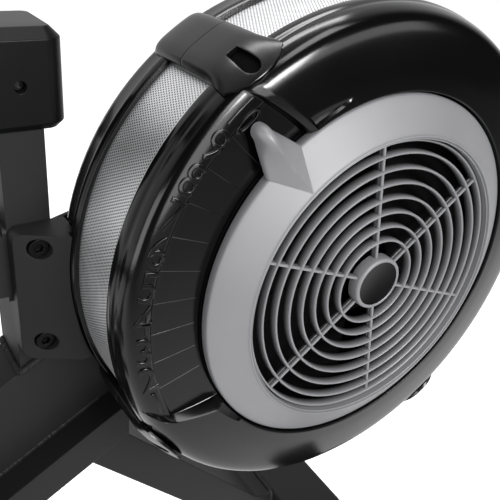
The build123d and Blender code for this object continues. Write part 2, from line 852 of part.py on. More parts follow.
# Cover braces: saddle-shaped clips from the far rim over the mesh to the near shoulder
brace_gap = 0.4
with BuildPart() as cover_braces:
    for k in range(brace_count):
        start = brace_angle - brace_width_angle / 2 + 360 / brace_count * k
        with BuildSketch(radial_plane(start)) as profile:
            with BuildLine() as outline:
                Polyline(
                    (shoulder_radius + 8, shoulder_height + 1),
                    (shoulder_radius + 4, shoulder_height - 2),
                    (mesh_radius + 1 + brace_gap, rim_step + 22),
                    (near_rim_radius + brace_gap, rim_step + 12),
                    (near_rim_radius + brace_gap, rim_edge - 1),
                    (mesh_radius + brace_gap, rim_edge - 1.5),
                    (mesh_radius + brace_gap, mesh_far_edge + 1.5),
                    (housing_radius + brace_gap, mesh_far_edge + 0.5),
                    (housing_radius + brace_gap, far_face + 11),
                    (brace_crown - 4, far_face + 11),
                    (brace_crown, far_face + 17),
                )
                saddle_height = (mesh_near_edge + mesh_far_edge) / 2
                ThreePointArc((brace_crown, far_face + 17), (brace_saddle, saddle_height), (brace_saddle, rim_edge))
                ThreePointArc((brace_saddle, rim_edge), (shoulder_radius + 16.5, shoulder_height - 21),
                              (shoulder_radius + 8, shoulder_height + 1))
            make_face()
        revolve(axis=drum_axis, revolution_arc=brace_width_angle)
        middle = radians(start + brace_width_angle / 2)
        outward = Vector(cos(middle), 0, sin(middle))
        window_place = Vector(fan_x, grille_face_y - brace_slot_height, fan_height) + outward * brace_crown
        with BuildSketch(Plane(origin=window_place, x_dir=(0, 1, 0), z_dir=outward)) as window:
            SlotOverall(brace_slot_length, brace_slot_width)
        extrude(amount=mesh_radius - brace_crown, mode=Mode.SUBTRACT)
write(cover_braces.part, "cover_braces")

# Inlet plate: fixed disc behind the damper seat, with windows that the shutter opens and closes
with BuildPart() as inlet_plate:
    with BuildSketch(drum_level(inlet_plate_top)) as disc:
        Circle(inlet_plate_radius)
        Circle(grille_first_ring - grille_ring_pitch / 2, mode=Mode.SUBTRACT)
        for half_turn in (0, 180):
            add(sector(inlet_window_inner, inlet_window_outer, vane_start + vane_angle + 6 + half_turn,
                       inlet_window_angle), mode=Mode.SUBTRACT)
    extrude(amount=-inlet_plate_thickness)
    with BuildSketch(drum_level(inlet_plate_top)) as skirt:
        Circle(inlet_plate_radius)
        Circle(inlet_plate_radius - cover_wall, mode=Mode.SUBTRACT)
    extrude(amount=seat_height - cover_wall - inlet_plate_top)
write(inlet_plate.part, "inlet_plate")

# Damper grille: concentric blades and spokes in one moulding, with a hub for the badge
with BuildPart() as damper_grille:
    with BuildSketch(drum_level(-grille_depth)) as blades:
        Circle(grille_radius)
        Circle(grille_radius - grille_rim, mode=Mode.SUBTRACT)
        for k in range(grille_ring_count):
            ring_radius = grille_first_ring + grille_ring_pitch * k
            Circle(ring_radius + grille_blade / 2)
            Circle(ring_radius - grille_blade / 2, mode=Mode.SUBTRACT)
    extrude(amount=grille_depth)
    with BuildSketch(drum_level(-grille_depth)) as spokes:
        spoke_length = grille_radius - hub_radius - grille_rim / 2 + 2
        with PolarLocations(hub_radius - 2 + spoke_length / 2, grille_spoke_count,
                            start_angle=grille_spoke_angle):
            Rectangle(spoke_length, grille_spoke)
        Circle(hub_radius)
    extrude(amount=grille_depth)
    with BuildSketch(drum_level(0)) as hub:
        Circle(hub_radius)
    extrude(amount=hub_height, taper=hub_draft)
write(damper_grille.part, "damper_grille")

with BuildPart() as hub_badge:
    with BuildSketch(drum_level(hub_height)) as disc:
        Circle(badge_radius)
    extrude(amount=badge_thickness)
    chamfer(hub_badge.edges().filter_by(GeomType.CIRCLE).sort_by(Axis.Y)[0], 0.6)
write(hub_badge.part, "hub_badge")

# Damper ring: cone that turns round the grille, with a keeled pointer lever and tabs through the seat
ring_bottom = seat_height + moving_gap
with BuildPart() as damper_ring:
    with BuildSketch(radial_plane(0)) as profile:
        with BuildLine() as outline:
            Polyline(
                (ring_inner_radius, ring_bottom),
                (ring_inner_radius, ring_lip_height - 2.2),
                (ring_inner_radius + 1, ring_lip_height - 2.2),
                (ring_inner_radius + 1, ring_lip_height),
                (ring_lip_radius, ring_lip_height),
                (ring_outer_radius, ring_outer_height),
                (ring_outer_radius, ring_bottom),
                (ring_outer_radius - ring_wall, ring_bottom),
                (ring_outer_radius - ring_wall, ring_outer_height - ring_wall + 1),
                (ring_inner_radius + ring_wall, ring_lip_height - ring_wall - 1),
                (ring_inner_radius + ring_wall, ring_bottom),
                close=True,
            )
        make_face()
    revolve(axis=drum_axis)
    with BuildSketch(drum_level(lever_base)) as foot:
        with BuildLine() as outline:
            a = radians(lever_angle)
            along = Vector(cos(a), sin(a))
            across = Vector(-sin(a), cos(a))
            Polyline(
                along * lever_inner_radius,
                along * lever_wide_radius + across * lever_half_width,
                along * (lever_tip_radius - lever_tip_half_width) + across * lever_tip_half_width,
                along * lever_tip_radius,
                along * (lever_tip_radius - lever_tip_half_width) - across * lever_tip_half_width,
                along * lever_wide_radius - across * lever_half_width,
                close=True,
            )
        make_face()
    with BuildSketch(drum_level(lever_crest)) as keel:
        with BuildLine() as ridge:
            Polyline(
                along * (lever_inner_radius + 6),
                along * (lever_wide_radius + 6) + across * 1.2,
                along * (lever_tip_radius - 6) + across * 0.8,
                along * (lever_tip_radius - 5),
                along * (lever_tip_radius - 6) - across * 0.8,
                along * (lever_wide_radius + 6) - across * 1.2,
                close=True,
            )
        make_face()
    loft(ruled=True)
    with BuildSketch(radial_plane(0)) as hollow:
        with BuildLine() as inside:
            Polyline(
                (ring_inner_radius + ring_wall, ring_bottom - 5),
                (ring_inner_radius + ring_wall, ring_lip_height - ring_wall - 1),
                (ring_outer_radius - ring_wall, ring_outer_height - ring_wall + 1),
                (ring_outer_radius - ring_wall, ring_bottom - 5),
                close=True,
            )
        make_face()
    revolve(axis=drum_axis, mode=Mode.SUBTRACT)
    with BuildSketch(drum_level(shutter_top)) as tabs:
        with PolarLocations(tab_radius, tab_count, start_angle=tab_angle):
            Circle(tab_size / 2)
    ring_slope = (ring_lip_height - ring_outer_height) / (ring_outer_radius - ring_lip_radius)
    tab_top = ring_outer_height + (ring_outer_radius - tab_radius - tab_size / 2) * ring_slope - moving_gap
    extrude(amount=tab_top - shutter_top)
write(damper_ring.part, "damper_ring")

# Damper shutter: two-vaned disc screwed to the ring's tabs behind the seat
with BuildPart() as damper_shutter:
    with BuildSketch(drum_level(shutter_top - shutter_thickness)) as disc:
        Circle(shutter_radius)
        Circle(inlet_window_outer + 5, mode=Mode.SUBTRACT)
        Circle(inlet_window_inner)
        Circle(grille_first_ring - grille_ring_pitch / 2, mode=Mode.SUBTRACT)
        for half_turn in (0, 180):
            add(sector(inlet_window_inner - 2, inlet_window_outer + 8, vane_start + half_turn, vane_angle))
    extrude(amount=shutter_thickness)
write(damper_shutter.part, "damper_shutter")

# Fan: shaft in the two bearings, and a bladed wheel on its end inside the drum
shaft_left = arm_left_outer + bearing_flange
shaft_right = grille_face_y - (fan_back + fan_hub_length)
with BuildPart() as fan_shaft:
    with BuildSketch(side_plane(shaft_left)) as section:
        with Locations((fan_x, fan_height)):
            Circle(shaft_radius)
    extrude(amount=shaft_left - shaft_right)
write(fan_shaft.part, "fan_shaft")

with BuildPart() as fan_wheel:
    with BuildSketch(drum_level(fan_back)) as disc:
        Circle(fan_radius)
        Circle(shaft_radius, mode=Mode.SUBTRACT)
    extrude(amount=fan_disc)
    with BuildSketch(drum_level(fan_back)) as hub:
        Circle(fan_hub_radius)
        Circle(shaft_radius, mode=Mode.SUBTRACT)
    extrude(amount=fan_hub_length)
    with BuildSketch(drum_level(fan_back + fan_disc)) as blades:
        blade_length = fan_radius - fan_blade_inner
        with PolarLocations(fan_blade_inner, fan_blade_count):
            with Locations(Location((0, 0, 0), (0, 0, -fan_blade_lean))):
                Rectangle(blade_length, fan_blade_thickness, align=(Align.MIN, Align.CENTER))
    extrude(amount=fan_front - fan_back - fan_disc)
    with BuildSketch(drum_level(fan_front - fan_disc)) as front_ring:
        blade_tip = fan_radius - 8
        Circle(blade_tip)
        Circle(blade_tip - fan_front_ring, mode=Mode.SUBTRACT)
    extrude(amount=fan_disc)
write(fan_wheel.part, "fan_wheel")

# Strap spool: flanged drum on the one-way clutch, with an arbor for the recoil spring
spool_axis = Axis((fan_x, 0, fan_height), (0, -1, 0))
spool_half = spool_width / 2
spring_right = arm_left_inner - spring_case_width
with BuildPart() as strap_spool:
    with BuildSketch(axle_plane(fan_x, fan_height)) as profile:
        with BuildLine() as outline:
            Polyline(
                (spool_bore_radius, spool_half),
                (spool_flange_radius, spool_half),
                (spool_flange_radius, spool_half - spool_flange),
                (spool_hub_radius, spool_half - spool_flange),
                (spool_hub_radius, spool_flange - spool_half),
                (spool_flange_radius, spool_flange - spool_half),
                (spool_flange_radius, -spool_half),
                (arbor_radius, -spool_half),
                (arbor_radius, 1 - arm_left_inner),
                (spool_bore_radius, 1 - arm_left_inner),
                close=True,
            )
        make_face()
    revolve(axis=spool_axis)
write(strap_spool.part, "strap_spool")

with BuildPart() as one_way_clutch:
    with BuildSketch(side_plane(spool_half)) as ring:
        with Locations((fan_x, fan_height)):
            Circle(spool_bore_radius)
            Circle(shaft_radius + running_gap, mode=Mode.SUBTRACT)
    extrude(amount=spool_width)
write(one_way_clutch.part, "one_way_clutch")

with BuildPart() as wound_strap:
    with BuildSketch(side_plane(strap_width / 2)) as layers:
        with Locations((fan_x, fan_height)):
            Circle(wound_radius)
            Circle(spool_hub_radius, mode=Mode.SUBTRACT)
    extrude(amount=strap_width)
write(wound_strap.part, "wound_strap")

# Recoil spring: flat spiral in a case on the left arm plate, round the spool's arbor
with BuildPart() as recoil_spring_case:
    with BuildSketch(side_plane(arm_left_inner)) as wall:
        with Locations((fan_x, fan_height)):
            Circle(spring_case_radius)
            Circle(spring_case_radius - spring_case_wall, mode=Mode.SUBTRACT)
    extrude(amount=spring_case_width)
    with BuildSketch(side_plane(spring_right + 1.5)) as lid:
        with Locations((fan_x, fan_height)):
            Circle(spring_case_radius)
            Circle(arbor_radius + 1.5, mode=Mode.SUBTRACT)
    extrude(amount=1.5)
write(recoil_spring_case.part, "recoil_spring_case")

spring_inner = arbor_radius + 2
spring_outer = spring_case_radius - spring_case_wall - moving_gap - spring_strip / 2
half_turns = 2 * spring_turns
half_step = (spring_outer - spring_inner) / half_turns
with BuildPart() as recoil_spring:
    with BuildSketch(side_plane(arm_left_inner - 1)) as coil:
        with BuildLine() as spiral:
            for k in range(half_turns):
                sign = 1 if k % 2 == 0 else -1
                first = spring_inner + half_step * k
                last = spring_inner + half_step * (k + 1)
                middle = (first + last) / 2
                ThreePointArc(
                    (fan_x + sign * first, fan_height),
                    (fan_x + sign * (first - last) / 2, fan_height + sign * middle),
                    (fan_x - sign * last, fan_height),
                )
        trace(line_width=spring_strip)
    extrude(amount=spring_case_width - 4)
write(recoil_spring.part, "recoil_spring")

# Drive cover: moulded lid over the left bearing and arm plate
with BuildPart() as drive_cover:
    for skin, mode in ((0, Mode.ADD), (cover_wall, Mode.SUBTRACT)):
        with BuildSketch(side_plane(arm_left_outer)) as outline:
            with BuildLine() as rounds:
                CenterArc((fan_x, fan_height), arm_boss_radius - 1 - skin, 0, 360)
                CenterArc((fan_x - drive_cover_tail, fan_height - drive_cover_tail_drop),
                          drive_cover_tail_radius - skin, 0, 360)
            make_hull()
        extrude(amount=-(drive_cover_depth - skin), mode=mode)
        if skin == 0:
            fillet(drive_cover.faces().sort_by(Axis.Y)[-1].edges(), drive_cover_round)
write(drive_cover.part, "drive_cover")

# Guide roller inside the post: the strap runs under it from the spool to the handle
with BuildPart() as guide_pin:
    with BuildSketch(side_plane(0)) as section:
        with Locations((post_x, guide_roller_z)):
            Circle(guide_pin_radius)
    extrude(amount=post_width / 2, both=True)
write(guide_pin.part, "guide_pin")

with BuildPart() as guide_roller:
    with BuildSketch(side_plane(0)) as section:
        with Locations((post_x, guide_roller_z)):
            Circle(guide_roller_radius)
            Circle(guide_pin_radius + running_gap, mode=Mode.SUBTRACT)
    extrude(amount=guide_roller_width / 2, both=True)
write(guide_roller.part, "guide_roller")

# Drive strap: flat webbing from the top of the spool, under the guide roller, to the handle's clip
handle_x = post_x - handle_setback
clip_front = handle_x + handle_tube_radius + clip_length
wrap_radius = wound_radius + moving_gap + strap_thickness / 2
wrap_angle = radians(180) - acos(wrap_radius / post_offset)
strap_leaves = (fan_x + wrap_radius * cos(wrap_angle), fan_height + wrap_radius * sin(wrap_angle))
with BuildPart() as drive_strap:
    with BuildSketch(side_plane(0)) as edge_view:
        with BuildLine() as route:
            Polyline(strap_leaves, (post_x, strap_height), (clip_front, strap_height))
        trace(line_width=strap_thickness)
    extrude(amount=strap_width / 2, both=True)
write(drive_strap.part, "drive_strap")

# Handle rest: plate on the back of the post, with two prongs whose notches face the handle
with BuildPart() as handle_rest:
    with BuildSketch(Plane.YZ.offset(post_rear - rest_plate)) as plate:
        with Locations((0, strap_height)):
            RectangleRounded(post_width, 2 * rest_prong_height, 6)
            RectangleRounded(strap_width + 10, rest_slot_height, 5, mode=Mode.SUBTRACT)
    extrude(amount=rest_plate)
    for side in (1, -1):
        with BuildSketch(side_plane(side * (rest_prong_gap + rest_prong / 2))) as prong:
            with BuildLine() as outline:
                Polyline(
                    (post_rear - rest_plate, strap_height + rest_prong_height - 8),
                    (post_rear - rest_plate, strap_height - rest_prong_height + 8),
                    (handle_x, strap_height - rest_prong_height / 2 - 4),
                    (handle_x - 8, strap_height - rest_prong_height / 2),
                    (handle_x - 8, strap_height - handle_tube_radius - moving_gap),
                    (handle_x, strap_height - handle_tube_radius - moving_gap),
                )
                ThreePointArc(
                    (handle_x, strap_height - handle_tube_radius - moving_gap),
                    (handle_x + handle_tube_radius + moving_gap, strap_height),
                    (handle_x, strap_height + handle_tube_radius + moving_gap),
                )
                Polyline(
                    (handle_x, strap_height + handle_tube_radius + moving_gap),
                    (handle_x, strap_height + rest_prong_height / 2 + 4),
                    (post_rear - rest_plate, strap_height + rest_prong_height - 8),
                )
            make_face()
        extrude(amount=rest_prong / 2, both=True)
write(handle_rest.part, "handle_rest")

# Handle: bent bar with a clip for the strap, and a rubber grip on each end
handle_ends = [(handle_x - handle_sweep_back, side * handle_reach) for side in (1, -1)]
handle_knees = [(handle_x, side * handle_straight) for side in (1, -1)]
with BuildPart() as handle_bar:
    with BuildLine(Plane.XY.offset(strap_height)) as route:
        FilletPolyline(handle_ends[0], handle_knees[0], handle_knees[1], handle_ends[1],
                       radius=handle_bend_radius)
    end_plane = Plane(origin=route.line @ 0, z_dir=route.line % 0)
    with BuildSketch(end_plane) as section:
        Circle(handle_tube_radius)
    sweep()
    with BuildSketch(Plane.XY.offset(strap_height)) as clip:
        with Locations((handle_x, 0)):
            Rectangle(handle_tube_radius + clip_length, clip_width, align=(Align.MIN, Align.CENTER))
    extrude(amount=clip_height / 2, both=True)
    with BuildSketch(side_plane(0)) as mouth:
        with Locations((clip_front - clip_length / 2, strap_height)):
            Circle(clip_length / 4)
    extrude(amount=clip_width / 2 - 4, both=True, mode=Mode.SUBTRACT)
write(handle_bar.part, "handle_bar")

with BuildPart() as handle_grips:
    for side in (1, -1):
        run = (handle_reach - grip_start) / (handle_reach - handle_straight)
        start = Vector(handle_x - handle_sweep_back * (1 - run), side * grip_start, strap_height)
        end = Vector(handle_x - handle_sweep_back, side * handle_reach, strap_height)
        with BuildSketch(Plane(origin=start, z_dir=end - start)) as section:
            Circle(grip_radius)
            Circle(handle_tube_radius, mode=Mode.SUBTRACT)
        extrude(amount=(end - start).length)
        with BuildSketch(Plane(origin=end, z_dir=end - start)) as cap:
            Circle(grip_radius + 1)
        extrude(amount=4)
write(handle_grips.part, "handle_grips")

# Rail: aluminium extrusion with a running flange, from the joint plate back to the rear leg
rail_start = rail_front - joint_plate_thickness
with BuildPart() as rail:
    with BuildSketch(Plane.YZ.offset(rail_rear)) as section:
        with Locations((0, rail_centre)):
            Rectangle(rail_web, rail_height)
        with Locations((0, rail_top)):
            Rectangle(rail_flange_width, rail_flange, align=(Align.CENTER, Align.MAX))
        with Locations((0, rail_bottom)):
            Rectangle(rail_foot_width, rail_flange, align=(Align.CENTER, Align.MIN))
        with Locations((0, rail_centre)):
            RectangleRounded(rail_web - 2 * rail_wall, rail_height - 2 * rail_flange, 4, mode=Mode.SUBTRACT)
        for side in (1, -1):
            with Locations((side * rail_web / 2, rail_centre)):
                Rectangle(rail_groove_depth, rail_groove_height, mode=Mode.SUBTRACT)
    extrude(amount=rail_start - rail_rear)
write(rail.part, "rail")

with BuildPart() as rail_stops:
    for stop_x in (rail_front - front_stop_offset, rail_rear + rear_stop_offset):
        with BuildSketch(Plane.XY.offset(rail_top)) as block:
            with Locations((stop_x, 0)):
                RectangleRounded(stop_length, stop_width, stop_round)
        extrude(amount=stop_height)
        chamfer(rail_stops.faces().sort_by(Axis.Z)[-1].edges(), 3)
write(rail_stops.part, "rail_stops")

# Rear leg: tube from the rail's rear end down to the rear foot
with BuildPart() as rear_leg:
    for skin, mode in ((0, Mode.ADD), (tube_wall, Mode.SUBTRACT)):
        with BuildSketch(side_plane(0)) as outline:
            with BuildLine() as edges:
                top_x = rail_rear + rear_leg_depth / 2 + rear_leg_inset
                Polyline(
                    (top_x - rear_leg_depth / 2 + skin, rail_bottom),
                    (rear_foot_x - rear_leg_depth / 2 + skin, foot_top),
                    (rear_foot_x + rear_leg_depth / 2 - skin, foot_top),
                    (top_x + rear_leg_depth / 2 - skin, rail_bottom),
                    close=True,
                )
            make_face()
        extrude(amount=rear_leg_width / 2 - skin, both=True, mode=mode)
write(rear_leg.part, "rear_leg")

# Seat carriage: folded channel round the rail, with two roller axles and a board for the pad
roller_z = rail_top + moving_gap + roller_radius
carriage_top = roller_z + roller_radius + roller_head_gap + carriage_plate
lip_top = rail_top - rail_flange - carriage_lip_gap
carriage_inside = carriage_width / 2 - carriage_plate
with BuildPart() as seat_carriage:
    with BuildSketch(Plane.YZ.offset(seat_rest_x)) as channel:
        with Locations((0, carriage_top)):
            Rectangle(carriage_width, carriage_plate, align=(Align.CENTER, Align.MAX))
        for side in (1, -1):
            with Locations((side * (carriage_inside + carriage_plate / 2), lip_top - carriage_lip)):
                Rectangle(carriage_plate, carriage_top - lip_top + carriage_lip,
                          align=(Align.CENTER, Align.MIN))
            lip_reach = carriage_inside - rail_web / 2 - 4
            with Locations((side * (carriage_inside - lip_reach / 2), lip_top)):
                Rectangle(lip_reach, carriage_lip, align=(Align.CENTER, Align.MAX))
    extrude(amount=carriage_length / 2, both=True)
    for axle_x in (roller_spacing / 2, -roller_spacing / 2):
        with BuildSketch(side_plane(0)) as axle:
            with Locations((seat_rest_x + axle_x, roller_z)):
                Circle(roller_axle_radius)
        extrude(amount=carriage_inside, both=True)
    with BuildSketch(Plane.XY.offset(carriage_top)) as board:
        with Locations((seat_rest_x, 0)):
            RectangleRounded(seat_board_length, seat_board_width, seat_board_round)
    extrude(amount=seat_board)
write(seat_carriage.part, "seat_carriage")

for end, end_name in ((1, "front"), (-1, "rear")):
    with BuildPart() as rollers:
        for side in (1, -1):
            roller_x = seat_rest_x + end * roller_spacing / 2
            with BuildSketch(side_plane(side * (roller_inner_y + roller_width / 2))) as section:
                with Locations((roller_x, roller_z)):
                    Circle(roller_radius)
                    Circle(roller_axle_radius + running_gap, mode=Mode.SUBTRACT)
            extrude(amount=roller_width / 2, both=True)
    write(rollers.part, f"seat_rollers_{end_name}")

# Seat pad: crowned cushion with drawn-in sides, wider than its board
pad_bottom = carriage_top + seat_board
pad_levels = ((0, 0.86), (0.3, 0.97), (0.55, 1.0), (0.82, 0.95), (1.0, 0.8))
with BuildPart() as seat_pad:
    for rise, share in pad_levels:
        with BuildSketch(Plane.XY.offset(pad_bottom + rise * pad_height)) as level:
            with Locations((seat_rest_x, 0)):
                inset = (1 - share) * pad_length
                RectangleRounded(pad_length - inset, pad_width - inset, pad_round - inset / 2)
    loft()
write(seat_pad.part, "seat_pad")

# Foot frame: cross bar under the rail, with a gusset under each foot plate
foot_tilt = radians(foot_incline)
foot_centre = Vector(fan_x - foot_centre_offset, 0, foot_centre_height)
foot_along = Vector(cos(foot_tilt), 0, sin(foot_tilt))
foot_up = Vector(-sin(foot_tilt), 0, cos(foot_tilt))
bar_x = fan_x - foot_bar_offset
foot_y = foot_plate_inner + foot_plate_width / 2
under = foot_centre - foot_up * foot_plate_thickness
with BuildPart() as foot_frame:
    with BuildSketch(Plane.XZ.offset(-foot_bar_length / 2)) as section:
        with Locations((bar_x, rail_bottom - foot_bar_height / 2)):
            RectangleRounded(foot_bar_depth, foot_bar_height, 5)
    extrude(amount=foot_bar_length)
    for side in (1, -1):
        low_end = under - foot_along * gusset_span
        high_end = under + foot_along * gusset_span
        with BuildSketch(side_plane(side * foot_y)) as gusset:
            with BuildLine() as outline:
                Polyline(
                    (bar_x - foot_bar_depth / 2 + 4, rail_bottom - 4),
                    (bar_x + foot_bar_depth / 2 - 4, rail_bottom - 4),
                    (high_end.X, high_end.Z),
                    (low_end.X, low_end.Z),
                    close=True,
                )
            make_face()
        extrude(amount=gusset_thickness / 2, both=True)
write(foot_frame.part, "foot_frame")

# Footrests: a ribbed plate, a sliding heel cup and a strap over the foot on each side
for side, side_name in ((1, "left"), (-1, "right")):
    centre = foot_centre + Vector(0, side * foot_y, 0)
    sole_plane = Plane(origin=centre, x_dir=foot_along, z_dir=foot_up)
    with BuildPart() as foot_plate:
        with BuildSketch(sole_plane.offset(-foot_plate_thickness)) as sole:
            RectangleRounded(foot_plate_length, foot_plate_width, foot_plate_round)
        extrude(amount=foot_plate_thickness)
        with BuildSketch(sole_plane.offset(-foot_plate_thickness)) as ribs:
            rib_x = foot_plate_length / 2 - foot_rib_inset
            with Locations((rib_x, 0), (-rib_x, 0)):
                Rectangle(foot_rib_width, foot_plate_width - foot_rib_inset)
        extrude(amount=-foot_rib_depth)
        with BuildSketch(sole_plane) as lace_holes:
            with GridLocations(lace_hole_pitch, 0, lace_hole_count, 1):
                SlotOverall(lace_hole_length, lace_hole_width, rotation=90)
        extrude(amount=-foot_plate_thickness, mode=Mode.SUBTRACT)
    write(foot_plate.part, f"foot_plate_{side_name}")

    with BuildPart() as heel_cup:
        with BuildSketch(sole_plane.offset(moving_gap)) as base:
            with Locations((heel_start + heel_length / 2, 0)):
                RectangleRounded(heel_length, heel_width, heel_round)
        extrude(amount=heel_base)
        with BuildSketch(sole_plane.offset(moving_gap)) as wall:
            with Locations((heel_start + heel_width / 2, 0)):
                Circle(heel_width / 2)
                Circle(heel_width / 2 - heel_wall, mode=Mode.SUBTRACT)
                Rectangle(heel_width, heel_width, align=(Align.MIN, Align.CENTER), mode=Mode.SUBTRACT)
        extrude(amount=heel_wall_height)
    write(heel_cup.part, f"heel_cup_{side_name}")

    with BuildPart() as foot_strap:
        band_start = sole_plane.origin + foot_along * (strap_band_centre - strap_band_width / 2)
        with BuildSketch(Plane(origin=band_start, x_dir=(0, 1, 0), z_dir=foot_along)) as arch:
            half_span = foot_plate_width / 2 - strap_band_inset
            with BuildLine() as outline:
                EllipticalCenterArc((0, 0), half_span, strap_band_height, arc_size=180)
                EllipticalCenterArc((0, 0), half_span - strap_band_thickness,
                                    strap_band_height - strap_band_thickness, arc_size=180)
                Line((half_span - strap_band_thickness, 0), (half_span, 0))
                Line((-half_span, 0), (strap_band_thickness - half_span, 0))
            make_face()
        extrude(amount=strap_band_width)
    write(foot_strap.part, f"foot_strap_{side_name}")

# Monitor: an arm on the cap's ears, a case that tilts on the arm, a screen and keys
arm_top_x = ear_x - monitor_arm_set_back
arm_top_z = ear_z + monitor_arm_rise
with BuildPart() as monitor_arm:
    with BuildSketch(side_plane(0)) as side_view:
        with BuildLine() as route:
            FilletPolyline((ear_x, ear_z), (arm_top_x, ear_z + monitor_arm_rise / 2), (arm_top_x, arm_top_z),
                           radius=90)
        trace(line_width=monitor_arm_depth)
        with Locations((ear_x, ear_z), (arm_top_x, arm_top_z)):
            Circle(ear_radius - 1)
    extrude(amount=monitor_arm_width / 2, both=True)
    with BuildSketch(side_plane(0)) as pins:
        with Locations((ear_x, ear_z), (arm_top_x, arm_top_z)):
            Circle(arm_pin_radius)
    extrude(amount=monitor_arm_width / 2 + moving_gap + ear_thickness, both=True)
write(monitor_arm.part, "monitor_arm")

case_front_x = arm_top_x - ear_reach
case_back_plane = Plane(origin=(case_front_x, 0, arm_top_z), x_dir=(0, -1, 0), z_dir=(-1, 0, 0))
case_face_plane = case_back_plane.offset(monitor_depth)
key_drop = key_rise - monitor_height / 2
with BuildPart() as monitor_case:
    with BuildSketch(case_back_plane) as back:
        RectangleRounded(monitor_width - 2 * monitor_back_inset, monitor_height - 2 * monitor_back_inset,
                         monitor_back_round)
    with BuildSketch(case_back_plane.offset(monitor_depth * 0.55)) as middle:
        RectangleRounded(monitor_width, monitor_height, monitor_round)
    with BuildSketch(case_face_plane) as face:
        RectangleRounded(monitor_width, monitor_height, monitor_round)
    loft(ruled=True)
    with BuildSketch(case_face_plane) as window:
        with Locations((0, screen_rise)):
            RectangleRounded(screen_width + 2 * sheet_gap, screen_height + 2 * sheet_gap, screen_round)
    extrude(amount=-screen_thickness, mode=Mode.SUBTRACT)
    with BuildSketch(case_face_plane) as key_holes:
        with Locations((0, key_drop)):
            with GridLocations(button_pitch, 0, button_count, 1):
                Circle(button_radius + moving_gap)
    extrude(amount=-button_travel - button_well, mode=Mode.SUBTRACT)
    for side in (1, -1):
        with BuildSketch(side_plane(side * (monitor_arm_width / 2 + moving_gap + ear_thickness / 2))) as ear:
            with Locations((case_front_x, arm_top_z)):
                Rectangle(ear_reach, 2 * ear_radius, align=(Align.MIN, Align.CENTER))
            with Locations((arm_top_x, arm_top_z)):
                Circle(ear_radius)
                Circle(arm_pin_radius + running_gap, mode=Mode.SUBTRACT)
        extrude(amount=ear_thickness / 2, both=True)
write(monitor_case.part, "monitor_case")

with BuildPart() as monitor_screen:
    with BuildSketch(case_face_plane.offset(-screen_thickness)) as pane:
        with Locations((0, screen_rise)):
            RectangleRounded(screen_width, screen_height, screen_round)
    extrude(amount=screen_thickness)
write(monitor_screen.part, "monitor_screen")

for k in range(button_count):
    with BuildPart() as button:
        with BuildSketch(case_face_plane.offset(-button_body)) as disc:
            with Locations(((k - (button_count - 1) / 2) * button_pitch, key_drop)):
                Circle(button_radius)
        extrude(amount=button_body + button_proud)
        fillet(button.faces().sort_by(Axis.X)[0].edges(), 1)
    write(button.part, f"monitor_button_{k + 1}")
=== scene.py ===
import json
import math

import bmesh
import bpy
from mathutils import Matrix, Vector
from mathutils.bvhtree import BVHTree
from mathutils.geometry import delaunay_2d_cdt

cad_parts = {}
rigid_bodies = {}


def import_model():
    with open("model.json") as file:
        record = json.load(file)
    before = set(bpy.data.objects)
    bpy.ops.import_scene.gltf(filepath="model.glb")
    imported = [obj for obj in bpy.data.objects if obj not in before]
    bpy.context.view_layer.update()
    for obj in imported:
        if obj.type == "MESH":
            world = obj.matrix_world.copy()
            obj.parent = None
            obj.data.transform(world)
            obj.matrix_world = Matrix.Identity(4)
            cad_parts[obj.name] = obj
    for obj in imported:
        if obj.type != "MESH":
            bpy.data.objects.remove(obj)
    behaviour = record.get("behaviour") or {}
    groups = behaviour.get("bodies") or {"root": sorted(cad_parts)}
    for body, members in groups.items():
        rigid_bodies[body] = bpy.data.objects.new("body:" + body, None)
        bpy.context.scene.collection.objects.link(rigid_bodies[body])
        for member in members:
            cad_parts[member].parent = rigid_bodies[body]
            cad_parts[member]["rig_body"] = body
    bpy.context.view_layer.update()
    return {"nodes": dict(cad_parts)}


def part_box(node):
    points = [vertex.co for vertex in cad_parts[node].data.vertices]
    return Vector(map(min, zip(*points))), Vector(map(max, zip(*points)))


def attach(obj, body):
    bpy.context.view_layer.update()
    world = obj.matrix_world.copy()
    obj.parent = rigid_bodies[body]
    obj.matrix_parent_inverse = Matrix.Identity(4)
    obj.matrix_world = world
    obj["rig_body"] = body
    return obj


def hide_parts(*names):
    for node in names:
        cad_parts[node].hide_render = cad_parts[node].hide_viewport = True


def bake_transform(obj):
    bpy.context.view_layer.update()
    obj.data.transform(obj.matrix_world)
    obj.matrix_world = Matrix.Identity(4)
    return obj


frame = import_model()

scene = bpy.context.scene
nodes = frame["nodes"]

# Welded frame: the sloping main beam with the flat tube welded along its underside, the front leg,
# both floor tubes and the upright post. Mild steel tube, blasted and coated in a fine dark powder
# that leaves a matte skin with the lumps of the cured grains.
coat_dark = (0.0072, 0.0072, 0.0075, 1)
coat_light = (0.0102, 0.0102, 0.0107, 1)


def surface_grain():
    """Shader group: the fine lumps of a skin and the slow drift of tone over it."""
    tree = bpy.data.node_groups.new("surface_grain", "ShaderNodeTree")
    for name, value in (("Grain", 1500.0), ("Drift", 6.0)):
        tree.interface.new_socket(name, in_out="INPUT", socket_type="NodeSocketFloat").default_value = value
    for name in ("Height", "Tone"):
        tree.interface.new_socket(name, in_out="OUTPUT", socket_type="NodeSocketFloat")
    given = tree.nodes.new("NodeGroupInput")
    made = tree.nodes.new("NodeGroupOutput")
    place = tree.nodes.new("ShaderNodeTexCoord")
    for socket, scale, detail in (("Height", "Grain", 2.0), ("Tone", "Drift", 5.0)):
        noise = tree.nodes.new("ShaderNodeTexNoise")
        noise.inputs["Detail"].default_value = detail
        tree.links.new(place.outputs["Object"], noise.inputs["Vector"])
        tree.links.new(given.outputs[scale], noise.inputs["Scale"])
        tree.links.new(noise.outputs["Fac"], made.inputs[socket])
    return tree


skin_grain = surface_grain()


